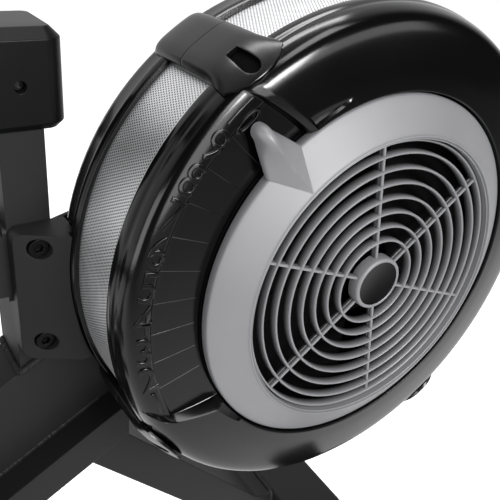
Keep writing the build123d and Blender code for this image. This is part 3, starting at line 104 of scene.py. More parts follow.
def finish(name, dark, light, rough, grain, bump, drift=6.0, metallic=0.0, coat=0.0, specular=0.5):
    """A material whose tone and roughness drift between two values over a bumped skin."""
    material = bpy.data.materials.new(name)
    material.use_nodes = True
    tree = material.node_tree
    skin = tree.nodes["Principled BSDF"]
    group = tree.nodes.new("ShaderNodeGroup")
    group.node_tree = skin_grain
    group.inputs["Grain"].default_value = grain
    group.inputs["Drift"].default_value = drift
    tone = tree.nodes.new("ShaderNodeMix")
    tone.data_type = "RGBA"
    tone.inputs[6].default_value = dark
    tone.inputs[7].default_value = light
    rub = tree.nodes.new("ShaderNodeMapRange")
    rub.inputs["From Min"].default_value = 0.3
    rub.inputs["From Max"].default_value = 0.7
    rub.inputs["To Min"].default_value = rough[0]
    rub.inputs["To Max"].default_value = rough[1]
    lumps = tree.nodes.new("ShaderNodeBump")
    lumps.inputs["Distance"].default_value = bump
    tree.links.new(group.outputs["Tone"], tone.inputs[0])
    tree.links.new(tone.outputs[2], skin.inputs["Base Color"])
    tree.links.new(group.outputs["Tone"], rub.inputs["Value"])
    tree.links.new(rub.outputs[0], skin.inputs["Roughness"])
    tree.links.new(group.outputs["Height"], lumps.inputs["Height"])
    tree.links.new(lumps.outputs[0], skin.inputs["Normal"])
    skin.inputs["Metallic"].default_value = metallic
    skin.inputs["Coat Weight"].default_value = coat
    skin.inputs["Specular IOR Level"].default_value = specular
    return material


def meshed(name, work):
    """The mesh of some worked geometry, which is then let go."""
    mesh = bpy.data.meshes.new(name)
    work.to_mesh(mesh)
    work.free()
    return mesh


def placed(name, data):
    """An object for a mesh, a text, a lamp or the like, set in the scene."""
    piece = bpy.data.objects.new(name, data)
    scene.collection.objects.link(piece)
    return piece


def worked(piece):
    """The plain mesh that an object's curve or modifiers come to."""
    bpy.context.view_layer.update()
    return bpy.data.meshes.new_from_object(piece.evaluated_get(bpy.context.evaluated_depsgraph_get()))


def settled(piece):
    """Puts the result of a piece's modifiers in its mesh and takes them off."""
    made = worked(piece)
    piece.modifiers.clear()
    piece.data = made


def rounded(node, material, edge=0.0015, smooth=40):
    """A piece in the solid's shape, with its sharp edges broken and its curved faces smooth."""
    work = bmesh.new()
    work.from_mesh(nodes[node].data)
    bmesh.ops.remove_doubles(work, verts=work.verts, dist=2e-5)
    bmesh.ops.dissolve_limit(work, angle_limit=math.radians(0.6), verts=work.verts, edges=work.edges)
    piece = placed(node + "_piece", meshed(node + "_blank", work))
    piece.data.shade_smooth()
    if edge:
        bevel = piece.modifiers.new("broken_edges", "BEVEL")
        bevel.width = edge
        bevel.segments = 2
        bevel.limit_method = "ANGLE"
        bevel.angle_limit = math.radians(smooth)
        level = piece.modifiers.new("level_faces", "WEIGHTED_NORMAL")
        level.weight = 100
        settled(piece)
    else:
        piece.data.set_sharp_from_angle(angle=math.radians(smooth))
    piece.data.materials.clear()
    piece.data.materials.append(material)
    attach(piece, nodes[node]["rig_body"])
    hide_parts(node)
    return piece


powder_coat = finish("powder_coat", coat_dark, coat_light, (0.42, 0.56), 2600, 0.00006, specular=0.14)
for tube in ("main_beam", "lower_beam", "front_leg", "front_foot", "rear_foot", "rear_leg", "post",
             "neck_bracket", "arm_plate_right", "arm_plate_left", "wheel_forks", "foot_frame", "handle_rest"):
    rounded(tube, powder_coat, 0.0025)

# Fan drum, far half: a gloss-black moulded cover bolted to the arm plate behind the fan,
# with the fan, its shaft, the inlet plate and the damper shutter inside.
gloss_black = finish("gloss_black", (0.0007, 0.0007, 0.0008, 1), (0.0013, 0.0013, 0.0014, 1),
                     (0.145, 0.185), 900, 0.00002, drift=9.0, specular=0.36)
inside_black_and_shade = finish("inside_black_and_shade", (0.0006, 0.0006, 0.0006, 1), (0.001, 0.001, 0.001, 1),
                     (0.6, 0.75), 1500, 0.00004, specular=0.05)
rounded("far_cover", gloss_black, 0.0012)
# The parts inside the drum, the steel shaft and bearings too, take one near-black material with almost no
# sheen: partly their dark finish, partly painted shade for the drum's dark inside.
for inner in ("fan_shaft", "fan_wheel", "damper_shutter", "inlet_plate", "axle_bearings"):
    nodes[inner].data.materials.clear()
    nodes[inner].data.materials.append(inside_black_and_shade)

# Perforated band: thin bright-plated sheet with small staggered round holes, rolled into a hoop
# and held between the two covers, so that the fan's air can leave.
axis_x, axis_z, face_y = 0.895, 0.53, -0.203
band_radius = 0.25
band_near, band_far = -0.0515, -0.1275
holes_around = 524
hole_pitch = 2 * math.pi * band_radius / holes_around
hole_rows = round((band_near - band_far) / (hole_pitch * math.sqrt(3) / 2)) + 2


def drum_point(radius, angle, height):
    """Place on the drum: radius from the axle, angle in degrees, height off the grille's face."""
    turn = math.radians(angle)
    return Vector((axis_x + radius * math.cos(turn), face_y - height, axis_z + radius * math.sin(turn)))


def grower(name, sizes):
    """Geometry Nodes tree with named sizes, the identifiers of their sockets and its input node."""
    tree = bpy.data.node_groups.new(name, "GeometryNodeTree")
    tree.interface.new_socket("Geometry", in_out="INPUT", socket_type="NodeSocketGeometry")
    identifiers = {}
    for label, kind, value in sizes:
        socket = tree.interface.new_socket(label, in_out="INPUT", socket_type="NodeSocket" + kind)
        if value is not None:
            socket.default_value = value
        identifiers[label] = socket.identifier
    tree.interface.new_socket("Geometry", in_out="OUTPUT", socket_type="NodeSocketGeometry")
    return tree, identifiers, tree.nodes.new("NodeGroupInput")


def coated(tree, geometry, skin):
    """Ends a tree with real geometry in one material."""
    real = tree.nodes.new("GeometryNodeRealizeInstances")
    tree.links.new(geometry, real.inputs[0])
    paint = tree.nodes.new("GeometryNodeSetMaterial")
    tree.links.new(real.outputs[0], paint.inputs["Geometry"])
    tree.links.new(skin, paint.inputs["Material"])
    made = tree.nodes.new("NodeGroupOutput")
    tree.links.new(paint.outputs[0], made.inputs["Geometry"])


def perforated_hoop():
    """Geometry Nodes tree: rows of holed hexagon cells, rolled round the drum's axle."""
    tree, sizes, given = grower("perforated_hoop", (
        ("Radius", "Float", band_radius), ("Near edge", "Float", band_near), ("Pitch", "Float", 0.003),
        ("Hole", "Float", 0.5), ("Holes around", "Int", holes_around), ("Rows", "Int", hole_rows),
        ("Metal", "Material", None)))

    def sum_of(kind, a, b):
        """Output of a math node on two sockets or numbers."""
        node = tree.nodes.new("ShaderNodeMath")
        node.operation = kind
        for socket, value in zip(node.inputs, (a, b)):
            if isinstance(value, (int, float)):
                socket.default_value = value
            else:
                tree.links.new(value, socket)
        return node.outputs[0]

    pitch = given.outputs["Pitch"]
    cell = tree.nodes.new("GeometryNodeMeshCircle")
    cell.fill_type = "NGON"
    cell.inputs["Vertices"].default_value = 6
    tree.links.new(sum_of("DIVIDE", pitch, math.sqrt(3)), cell.inputs["Radius"])
    upright = tree.nodes.new("GeometryNodeTransform")
    upright.inputs["Rotation"].default_value = (0, 0, math.radians(30))
    tree.links.new(cell.outputs[0], upright.inputs["Geometry"])
    rim = tree.nodes.new("GeometryNodeExtrudeMesh")
    rim.mode = "FACES"
    rim.inputs["Offset Scale"].default_value = 0.0
    tree.links.new(upright.outputs[0], rim.inputs["Mesh"])
    shrink = tree.nodes.new("GeometryNodeScaleElements")
    tree.links.new(rim.outputs["Mesh"], shrink.inputs["Geometry"])
    tree.links.new(rim.outputs["Top"], shrink.inputs["Selection"])
    tree.links.new(given.outputs["Hole"], shrink.inputs["Scale"])
    hole = tree.nodes.new("GeometryNodeDeleteGeometry")
    hole.domain = "FACE"
    tree.links.new(shrink.outputs[0], hole.inputs["Geometry"])
    tree.links.new(rim.outputs["Top"], hole.inputs["Selection"])
    count = sum_of("MULTIPLY", given.outputs["Holes around"], given.outputs["Rows"])
    points = tree.nodes.new("GeometryNodePoints")
    tree.links.new(count, points.inputs["Count"])
    index = tree.nodes.new("GeometryNodeInputIndex").outputs[0]
    row = sum_of("FLOOR", sum_of("DIVIDE", index, given.outputs["Holes around"]), 0)
    column = sum_of("SUBTRACT", index, sum_of("MULTIPLY", row, given.outputs["Holes around"]))
    stagger = sum_of("MULTIPLY", sum_of("MODULO", row, 2), 0.5)
    spot = tree.nodes.new("ShaderNodeCombineXYZ")
    tree.links.new(sum_of("MULTIPLY", sum_of("ADD", column, stagger), pitch), spot.inputs["X"])
    tree.links.new(sum_of("MULTIPLY", row, sum_of("MULTIPLY", pitch, math.sqrt(3) / 2)), spot.inputs["Y"])
    tree.links.new(spot.outputs[0], points.inputs["Position"])
    sheet = tree.nodes.new("GeometryNodeInstanceOnPoints")
    tree.links.new(points.outputs[0], sheet.inputs["Points"])
    tree.links.new(hole.outputs[0], sheet.inputs["Instance"])
    flat = tree.nodes.new("GeometryNodeRealizeInstances")
    tree.links.new(sheet.outputs[0], flat.inputs[0])
    where = tree.nodes.new("ShaderNodeSeparateXYZ")
    tree.links.new(tree.nodes.new("GeometryNodeInputPosition").outputs[0], where.inputs[0])
    radius = given.outputs["Radius"]
    angle = sum_of("DIVIDE", where.outputs["X"], radius)
    rolled = tree.nodes.new("ShaderNodeCombineXYZ")
    across = sum_of("MULTIPLY", sum_of("COSINE", angle, 0), radius)
    upward = sum_of("MULTIPLY", sum_of("SINE", angle, 0), radius)
    depth = sum_of("SUBTRACT", where.outputs["Y"], given.outputs["Near edge"])
    tree.links.new(sum_of("ADD", across, axis_x), rolled.inputs["X"])
    tree.links.new(sum_of("ADD", depth, face_y), rolled.inputs["Y"])
    tree.links.new(sum_of("ADD", upward, axis_z), rolled.inputs["Z"])
    roll = tree.nodes.new("GeometryNodeSetPosition")
    tree.links.new(flat.outputs[0], roll.inputs["Geometry"])
    tree.links.new(rolled.outputs[0], roll.inputs["Position"])
    weld = tree.nodes.new("GeometryNodeMergeByDistance")
    weld.inputs["Distance"].default_value = 0.0001
    tree.links.new(roll.outputs[0], weld.inputs["Geometry"])
    outward = tree.nodes.new("GeometryNodeFlipFaces")
    tree.links.new(weld.outputs[0], outward.inputs[0])
    coated(tree, outward.outputs[0], given.outputs["Metal"])
    return tree, sizes


def grown(name, seed, tree, values, slot, body, *replaced):
    """A plain mesh piece from a seed mesh, a Geometry Nodes tree and its named sizes."""
    piece = placed(name, seed)
    modifier = piece.modifiers.new("grow", "NODES")
    modifier.node_group = tree
    for identifier, value in values.items():
        modifier[identifier] = value
    settled(piece)
    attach(piece, body)
    if replaced:
        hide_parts(*replaced)
    return piece


plated_sheet = finish("plated_sheet", (0.74, 0.74, 0.755, 1), (0.88, 0.88, 0.895, 1),
                      (0.42, 0.52), 700, 0.00001, drift=14.0, metallic=1.0)
hoop_tree, hoop_sizes = perforated_hoop()
grown("perforated_band", bpy.data.meshes.new("perforated_band_seed"), hoop_tree,
      {hoop_sizes["Pitch"]: hole_pitch, hoop_sizes["Metal"]: plated_sheet},
      "mesh_metal", "frame", "mesh_band")

# Near cover: the gloss-black moulding that faces the rower's right. A bead grips the hoop and a shoulder
# rises to a shallow dome. A sunk sector round the left side carries the damper's numbers, with a small
# scoop for the thumb past its upper end and a tail that dies out past its lower one.
first_number, number_step = 200.0, 7.61
# A line is pairs of radius and height in millimetres, a wall or foot pairs of radius and angle in degrees.
cover_bead = [(250.6, -54.4), (252.9, -54.4), (253.8, -54.1), (254.3, -53.3), (254.5, -52.0), (254.55, -50.0),
              (254.5, -47.8), (254.25, -45.8), (253.75, -44.2), (253.15, -42.8), (252.7, -41.6)]
cover_swell = [(252.45, -40.4), (252.3, -39.0), (251.9, -36.4), (250.2, -31.2), (247.0, -25.2),
               (242.6, -21.0), (236.5, -18.2), (228.0, -16.0), (214.0, -13.3), (200.0, -11.0), (184.0, -9.0)]
sunk_line = [(250.2, -31.2), (248.3, -28.4), (245.0, -25.9), (240.5, -24.2), (235.0, -23.1), (231.0, -22.7),
             (229.6, -22.9), (228.4, -23.8), (226.0, -24.1), (214.0, -24.0), (184.0, -24.0)]
top_wall = [(184.5, 120.8), (248.0, 127.7)]
low_foot = [(187.0, 210.2), (210.0, 207.8), (230.0, 205.6), (243.0, 202.2), (250.0, 200.3)]
low_wall = [(188.0, 211.9), (191.6, 211.5), (209.7, 209.2), (229.7, 206.8), (238.0, 204.9), (243.0, 202.9),
            (250.0, 200.6)]
dome_start, dome_edge, cover_lip, lip_fall = 199.9, 192.0, 185.6, 1.4
scoop_start, scoop_end, scoop_slope = 106.6, 119.4, 0.34
scoop_edge = [(scoop_start, 194.3), (109.0, 195.2), (112.0, 196.6), (116.0, 198.4), (scoop_end, 199.6)]
scoop_ridge = [(scoop_start, 194.2), (108.0, 192.6), (110.0, 191.0), (113.0, 189.6), (117.0, 188.7),
               (scoop_end, 188.4)]
tail_start, tail_end = 208.0, 221.4
tail_fall = [(tail_start, -5.2), (212.0, -5.2), (221.1, -3.6), (tail_end, 0.0)]
tail_edge = [(tail_start, 194.0), (212.0, 193.0), (221.1, 188.0), (222.0, 188.0)]


def eased(points, steps):
    """Points along a smooth line through the given ones."""
    line = []
    for k in range(len(points) - 1):
        near = [points[min(max(k + j, 0), len(points) - 1)] for j in (-1, 0, 1, 2)]
        for s in range(steps):
            t = s / steps
            line.append(tuple(
                0.5 * (2 * q + (r - p) * t + (2 * p - 5 * q + 4 * r - u) * t * t
                       + (3 * q - p - 3 * r + u) * t ** 3)
                for p, q, r, u in zip(*near)))
    line.append(points[-1])
    return line


def step(value):
    """Smooth rise from 0 to 1."""
    value = min(max(value, 0.0), 1.0)
    return value * value * (3 - 2 * value)


def between(value, table):
    """Value read off a table of pairs, in straight runs."""
    for (x1, y1), (x2, y2) in zip(table, table[1:]):
        if value <= x2 or (x2, y2) == table[-1]:
            share = min(max((value - x1) / (x2 - x1), 0.0), 1.0)
            return y1 + share * (y2 - y1)


swell = eased(cover_swell, 8)
dome_rise = sorted((r, h) for r, h in swell if r <= 250.3)
sunk_rise = sorted(eased(sunk_line, 4))


def cover_column(side, share, depth):
    """One line of the cover's skin from bead to seat, at a share of a stretch and of the sunk depth."""
    def bearing(radius):
        """Angle of the line at a radius."""
        top, foot, low = between(radius, top_wall), between(radius, low_foot), between(radius, low_wall)
        if side == "floor":
            return top + share * (foot - top)
        if side == "ramp":
            return foot + share * (low - foot)
        return low + share * (360 + top - low)

    place = bearing(188.0) % 360
    lift, edge, ridge = 0.0, dome_edge, cover_lip
    if scoop_start < place < scoop_end:
        edge, ridge = between(place, scoop_edge), between(place, scoop_ridge)
        lift = -scoop_slope * (edge - ridge) * step((scoop_end - place) / 0.8)
    elif tail_start < place < tail_end:
        lift, edge = between(place, tail_fall), between(place, tail_edge)
    shoulder_skin = [(r, h) for r, h in swell if r >= dome_start]
    skin = cover_bead + shoulder_skin
    start, foot = shoulder_skin[-1][0], max(ridge - lip_fall, cover_lip)
    for one, two, rows in ((start, edge, 5), (edge, ridge, 5), (ridge, foot, 2), (foot, cover_lip, 3)):
        for k in range(1, rows + 1):
            radius = one + (two - one) * k / rows
            if radius >= ridge:
                rise = (edge - radius) / (edge - ridge + 0.01)
            else:
                rise = 1 - (ridge - radius) / lip_fall
            skin.append((radius, between(radius, dome_rise) + lift * max(rise, 0.0)))
    crest = skin[-1][1]
    skin += [(184.9, crest - 0.1), (184.4, crest - 0.5), (184.1, crest - 1.1), (184.0, crest - 2.0),
             (184.0, -20.5)]
    points = []
    for radius, height in skin:
        if radius < 250.2 and height > -40:
            height -= depth * max(height - between(radius, sunk_rise), 0.0)
        points.append(drum_point(radius / 1000, bearing(radius), height / 1000))
    return points


top_roll = ((0.0, 0.27), (0.8, 0.45), (2.2, 0.93), (2.9, 0.99), (4.5, 1.0))
low_roll = ((0.0, 1.0), (0.06, 0.98), (0.2, 0.83), (0.5, 0.51), (0.8, 0.19), (0.93, 0.055), (0.98, 0.015),
            (1.0, 0.0))
top_lead = ((9.0, 0.0), (6.0, 0.0), (5.4, 0.02), (0.9, 0.215), (0.3, 0.245))
round_shares = [0.006 + 0.934 * k / 230 for k in range(230)] + [0.94 + 0.046 * k / 32 for k in range(33)]
tail_shares = [0.0348, 0.0353]
columns = [("floor", s / 305.0, w) for s, w in top_roll]
columns += [("floor", 0.02 + 0.968 * k / 150, 1.0) for k in range(151)]
columns += [("ramp", t, w) for t, w in low_roll]
columns += [("out", k / 1000, 0.0) for k in (1, 3)]
columns += [("out", share, 0.0) for share in sorted(round_shares + tail_shares)]
columns += [("out", 1 - s / 1000.0, w) for s, w in top_lead]
drum_core = drum_point(0, 0, -0.09)


def skinned(work, rows):
    """Faces between rows of corners, each row joined to the next."""
    for one, two in zip(rows, rows[1:]):
        for k in range(len(one) - 1):
            work.faces.new((one[k], one[k + 1], two[k + 1], two[k]))


def sheet_of(name, rows):
    """Object from rows of points that close up round the axle, facing away from the drum's core."""
    work = bmesh.new()
    grid = [[work.verts.new(p) for p in row] for row in rows]
    skinned(work, grid + grid[:1])
    bmesh.ops.remove_doubles(work, verts=work.verts, dist=1e-6)
    bmesh.ops.recalc_face_normals(work, faces=work.faces)
    if sum(f.normal.dot(f.calc_center_median() - drum_core) * f.calc_area() for f in work.faces) < 0:
        bmesh.ops.reverse_faces(work, faces=work.faces)
    return placed(name, meshed(name, work))


def dressed(piece, material, smooth):
    """Smooths a piece but for its sharp edges and gives it its one material."""
    piece.data.shade_smooth()
    piece.data.set_sharp_from_angle(angle=math.radians(smooth))
    piece.data.materials.clear()
    piece.data.materials.append(material)


near_cover = sheet_of("near_cover_moulding", [cover_column(*column) for column in columns])
dressed(near_cover, gloss_black, 21)
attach(near_cover, "frame")
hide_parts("near_cover")

# Damper numbers: plain raised figures 1 to 10 moulded along the cover's shoulder, read from the left,
# with a low ridge between each pair that runs down over the sunk floor.
figure_radius = 237.0
figure_width, figure_shift = 0.84, 1.6
ten_width, ten_shift = 0.62, 4.2
ridge_half, ridge_root, ridge_top = 0.55, -0.1, 0.22
sunk_skin = eased(sunk_line, 6)
shoulder = [(r, h) for r, h in sunk_skin if r > 212]
lengths = [0.0]
for one, two in zip(shoulder, shoulder[1:]):
    lengths.append(lengths[-1] + math.dist(one, two))
middle = lengths[min(range(len(shoulder)), key=lambda k: abs(shoulder[k][0] - figure_radius))]


def on_shoulder(inward, angle, lift):
    """Place on the shoulder's skin, measured inwards from the line of the figures."""
    reach = min(max(middle + inward, lengths[0]), lengths[-1] - 1e-6)
    k = max(i for i in range(len(lengths) - 1) if lengths[i] <= reach)
    t = (reach - lengths[k]) / (lengths[k + 1] - lengths[k])
    (r1, h1), (r2, h2) = shoulder[k], shoulder[k + 1]
    radius, height = r1 + t * (r2 - r1), h1 + t * (h2 - h1)
    run = math.hypot(r2 - r1, h2 - h1)
    radius += lift * (h2 - h1) / run
    height += lift * (r1 - r2) / run
    return drum_point(radius / 1000, angle, height / 1000)


figures = bmesh.new()
for number in range(1, 11):
    text = bpy.data.curves.new(f"figure_{number}", "FONT")
    text.body = str(number)
    text.size = 40.0
    text.align_x = "CENTER"
    text.align_y = "CENTER"
    text.extrude = 0.5
    text.offset = -0.55
    text.bevel_depth = 0.95
    text.bevel_resolution = 3
    text.resolution_u = 8
    stamp = placed(f"figure_{number}", text)
    shape = worked(stamp)
    bpy.data.objects.remove(stamp)
    centre = first_number - (number - 1) * number_step
    width, shift = (figure_width, figure_shift) if number < 10 else (ten_width, ten_shift)
    for vertex in shape.vertices:
        x, y, z = vertex.co
        vertex.co = on_shoulder(x * width + shift, centre - math.degrees(y / figure_radius), z)
    figures.from_mesh(shape)
    bpy.data.meshes.remove(shape)
bmesh.ops.remove_doubles(figures, verts=figures.verts, dist=1e-6)
damper_figures = placed("damper_figures", meshed("damper_figures", figures))
dressed(damper_figures, gloss_black, 50)
ridge_work = bmesh.new()
for k in range(9):
    angle = first_number - (k + 0.5) * number_step
    strip = []
    for radius, height in [(r, h) for r, h in sunk_skin if 186 < r < 229]:
        half = math.degrees(ridge_half / radius)
        strip.append([ridge_work.verts.new(drum_point(radius / 1000, angle + turn, (height + rise) / 1000))
                      for turn, rise in ((-half, ridge_root), (0, ridge_top), (half, ridge_root))])
    skinned(ridge_work, strip)
bmesh.ops.recalc_face_normals(ridge_work, faces=ridge_work.faces)
damper_ridges = placed("damper_ridges", meshed("damper_ridges", ridge_work))
damper_ridges.data.materials.append(gloss_black)
for piece in (damper_figures, damper_ridges):
    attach(piece, "frame")

# Cover braces: four satin-black moulded saddles that clip over the band and pull the covers together.
# Each has a parting line across it, a flared foot on the near shoulder and a window to its screw.
brace_count = 4
brace_angle, brace_half, brace_radius, brace_wall = 124.5, 28.3, 262, 0.003
flare_start, flare_length, flare_spread = -62.0, 34.0, 3.4
corner_start, corner_drop, corner_run, corner_power = -60.0, 11.5, 40.0, 2.4
blank_half, hem_half, hem_start = 30, 30.8, 30.4
brace_line = [(252.6, -152.5), (257.0, -151.8), (260.6, -148.8), (262.6, -142.0), (263.6, -128.0),
              (263.8, -112.0), (263.8, -99.6)]
brace_line_near = [(263.8, -96.6), (263.8, -80.0), (263.6, -66.0), (262.7, -54.0), (260.2, -42.0),
                   (256.2, -31.0), (251.8, -21.8), (250.0, -20.0)]
parting = [(263.75, -98.6), (263.1, -98.1), (263.75, -97.6)]
satin_black = finish("satin_black", (0.0014, 0.0014, 0.0015, 1), (0.0022, 0.0022, 0.0024, 1),
                     (0.25, 0.31), 1800, 0.000008, specular=0.36)
brace_profile = eased(brace_line, 5) + parting + eased(brace_line_near, 6)
brace_edge = [0.75, 0.84, 0.91, 0.955, 0.985, 1.0]
spread = [-t for t in brace_edge[::-1]] + [k / 10 for k in range(-6, 7)] + brace_edge


def flared(height):
    """How far a brace has spread into its foot at a height, from 0 to 1."""
    return step((height - flare_start) / flare_length)


def brace_width(height):
    """Half of a brace's width at a height."""
    return brace_half + flare_spread * flared(height)


def brace_place(height, across):
    """Skin of a brace at a height off the grille's face, across from its middle line to either edge."""
    radius = between(height, sorted((h, r) for r, h in brace_profile))
    flare = flared(height)
    fall = (6.8 - 5.6 * flare) * abs(across) ** (7 - 3 * flare)
    return radius - fall, brace_width(height) * across


window_half, window_middle, window_round = 7.9, -32.5, 8.6
window_side = [(5.6, -54.5), (6.2, -49.0), (6.9, -43.0), (7.6, -37.0)]
window = [(-5.6, -54.5), (0.0, -54.8)] + window_side
for angle in range(0, 181, 12):
    turn = math.radians(angle)
    window.append((window_half * math.cos(turn), window_middle + window_round * math.sin(turn)))
window += [(-t, h) for t, h in window_side[:0:-1]]


def brace_flat(turn, level):
    """A place on a brace's skin in its flat blank: across by share, along by the profile's height."""
    across = turn / brace_width(level)
    drawn = corner_drop * abs(across) ** corner_power / corner_run
    along = (level - corner_start * drawn) / (1 - drawn) if level > corner_start else level
    return blank_half * across, along


hole = [brace_flat(t, h) for t, h in window]


def in_hole(x, y):
    """Whether a place of the flat blank lies inside the window."""
    inside = False
    for (x1, y1), (x2, y2) in zip(hole, hole[1:] + hole[:1]):
        if (y1 > y) != (y2 > y) and x < x1 + (y - y1) / (y2 - y1) * (x2 - x1):
            inside = not inside
    return inside


def hole_gap(x, y):
    """Distance of a place of the flat blank from the window's nearest corner."""
    return min(math.dist((x, y), spot) for spot in hole)


heights = [h for r, h in brace_profile]
columns_flat = [-hem_half] + [blank_half * t for t in spread] + [hem_half]
edge_loop = [(x, heights[0]) for x in columns_flat] + [(hem_half, h) for h in heights[1:]]
edge_loop += [(x, heights[-1]) for x in columns_flat[-2::-1]] + [(-hem_half, h) for h in heights[-2:0:-1]]
around = len(edge_loop)
blank = [Vector(spot) for spot in edge_loop + hole]
blank += [Vector((x, h)) for x in columns_flat[1:-1] for h in heights[1:-1]
          if not in_hole(x, h) and hole_gap(x, h) > 0.9]
hole_edges = [(around + k, around + (k + 1) % len(hole)) for k in range(len(hole))]
cut_blank = delaunay_2d_cdt(blank, hole_edges, [list(range(around))], 1, 1e-5)
flat_spots, flat_faces = cut_blank[0], cut_blank[2]
brace_work = bmesh.new()
skin_spots = []
for x, height in flat_spots:
    across = min(max(x / blank_half, -1.0), 1.0)
    level = height - corner_drop * max(height - corner_start, 0.0) / corner_run * abs(across) ** corner_power
    radius, turn = brace_place(level, across)
    if abs(x) > hem_start:
        radius -= 4.0 - 1.5 * flared(height)
    spot = drum_point(radius / 1000, brace_angle + math.degrees(turn / brace_radius), level / 1000)
    skin_spots.append(brace_work.verts.new(spot))
for face in flat_faces:
    x, y = (sum(flat_spots[k][axis] for k in face) / len(face) for axis in (0, 1))
    if not in_hole(x, y):
        brace_work.faces.new([skin_spots[k] for k in face])
bmesh.ops.delete(brace_work, geom=[v for v in brace_work.verts if not v.link_faces], context="VERTS")
bmesh.ops.recalc_face_normals(brace_work, faces=brace_work.faces)
if sum(f.normal.dot(f.calc_center_median() - drum_core) for f in brace_work.faces) < 0:
    bmesh.ops.reverse_faces(brace_work, faces=brace_work.faces)
brace = placed("brace_blank", meshed("brace_blank", brace_work))
wall = brace.modifiers.new("wall", "SOLIDIFY")
wall.thickness = brace_wall
wall.offset = -1
settled(brace)
dressed(brace, satin_black, 45)
eased_rim = brace.modifiers.new("eased_rim", "BEVEL")
eased_rim.width = 0.0011
eased_rim.segments = 3
eased_rim.limit_method = "ANGLE"
eased_rim.angle_limit = math.radians(55)
one_brace = worked(brace)
bpy.data.objects.remove(brace)


def round_the_axle():
    """Geometry Nodes tree: copies of one piece, evenly spaced round the fan's axle."""
    tree, sizes, given = grower("round_the_axle", (
        ("Copies", "Int", brace_count), ("Axle", "Vector", (axis_x, face_y, axis_z)),
        ("Skin", "Material", None)))
    back = tree.nodes.new("ShaderNodeVectorMath")
    back.operation = "SCALE"
    back.inputs["Scale"].default_value = -1.0
    tree.links.new(given.outputs["Axle"], back.inputs[0])
    home = tree.nodes.new("GeometryNodeTransform")
    tree.links.new(given.outputs["Geometry"], home.inputs["Geometry"])
    tree.links.new(back.outputs[0], home.inputs["Translation"])
    points = tree.nodes.new("GeometryNodePoints")
    tree.links.new(given.outputs["Copies"], points.inputs["Count"])
    tree.links.new(given.outputs["Axle"], points.inputs["Position"])
    share = tree.nodes.new("ShaderNodeMath")
    share.operation = "DIVIDE"
    tree.links.new(tree.nodes.new("GeometryNodeInputIndex").outputs[0], share.inputs[0])
    tree.links.new(given.outputs["Copies"], share.inputs[1])
    turn = tree.nodes.new("ShaderNodeMath")
    turn.operation = "MULTIPLY"
    turn.inputs[1].default_value = 2 * math.pi
    tree.links.new(share.outputs[0], turn.inputs[0])
    angles = tree.nodes.new("ShaderNodeCombineXYZ")
    tree.links.new(turn.outputs[0], angles.inputs["Y"])
    place = tree.nodes.new("GeometryNodeInstanceOnPoints")
    tree.links.new(points.outputs[0], place.inputs["Points"])
    tree.links.new(home.outputs[0], place.inputs["Instance"])
    tree.links.new(angles.outputs[0], place.inputs["Rotation"])
    coated(tree, place.outputs[0], given.outputs["Skin"])
    return tree, sizes


axle_tree, axle_sizes = round_the_axle()


def repeated(name, mesh, copies, material, slot, body, *replaced):
    """One mesh copied evenly round the fan's axle, as a single piece."""
    values = {axle_sizes["Copies"]: copies, axle_sizes["Skin"]: material}
    return grown(name, mesh, axle_tree, values, slot, body, *replaced)


def joined(work, one, two):
    """Faces between two closed rings of corners."""
    for k in range(len(one)):
        m = (k + 1) % len(one)
        work.faces.new((one[k], one[m], two[m], two[k]))


# Screw pockets: walls and a bed in a dead, sheenless black behind each brace window, painted shade for the
# window's dark inside; the bed also hides the cover's shoulder beneath.
pocket_depth = 3.5
pocket_work = bmesh.new()
pocket_rings = []
for depth, share, back in ((1.2, 0.985, 0.1), (pocket_depth, 0.97, 0.0)):
    ring = []
    for t, h in window:
        radius = brace_place(h, t / brace_width(h))[0] - depth
        turn = brace_angle + math.degrees(t * share / brace_radius)
        ring.append(pocket_work.verts.new(drum_point(radius / 1000, turn, (h - back) / 1000)))
    pocket_rings.append(ring)
joined(pocket_work, *pocket_rings)
bed = pocket_rings[1]
bed_radius = brace_place(-40.0, 0.0)[0] - pocket_depth
bed_middle = pocket_work.verts.new(drum_point(bed_radius / 1000, brace_angle, -0.04))
for one, two in zip(bed, bed[1:] + bed[:1]):
    pocket_work.faces.new((one, two, bed_middle))
bmesh.ops.recalc_face_normals(pocket_work, faces=pocket_work.faces)
pocket_painted_shade = finish("pocket_painted_shade", (0.0006, 0.0006, 0.0006, 1), (0.001, 0.001, 0.001, 1),
                      (0.7, 0.85), 1500, 0.00002, specular=0.03)
pocket_mesh = meshed("brace_pocket", pocket_work)
repeated("brace_pockets", pocket_mesh, brace_count, pocket_painted_shade, "moulded_black", "frame")
one_brace.set_sharp_from_angle(angle=math.radians(45))
repeated("brace_saddles", one_brace, brace_count, satin_black, "moulded_black", "frame", "cover_braces")

# Damper ring: a silver-painted moulded cone round the air inlet, with two thin lips at its inner edge.
# Its lever is a ridged kite that reaches over the sunk sector and points at a number.
ring_line = [(178.0, -21.0), (181.6, -20.6), (181.9, -19.8), (182.0, -13.2), (181.4, -11.8), (180.2, -10.9),
             (172.0, -6.5), (164.0, -2.2), (156.0, 2.1), (151.2, 4.6), (150.2, 5.3), (149.6, 6.3),
             (148.9, 6.6), (148.2, 6.2), (147.9, 4.7), (147.4, 4.4), (147.0, 5.0), (146.5, 5.2), (146.0, 4.8),
             (145.9, 3.0), (145.9, -3.0)]
silver_paint = finish("silver_paint", (0.116, 0.116, 0.121, 1), (0.15, 0.15, 0.156, 1),
                      (0.45, 0.53), 5200, 0.00004, drift=10.0, metallic=0.2, specular=0.4)
ring_rows = [[drum_point(r / 1000, 1.5 * k, h / 1000) for r, h in ring_line] for k in range(240)]
damper_ring = sheet_of("damper_ring_moulding", ring_rows)
lever_angle, lever_tip, lever_root = 131.0, 225.6, 150.4
lever_waist, waist_half, nose_half = 182.3, 19.2, 7.0
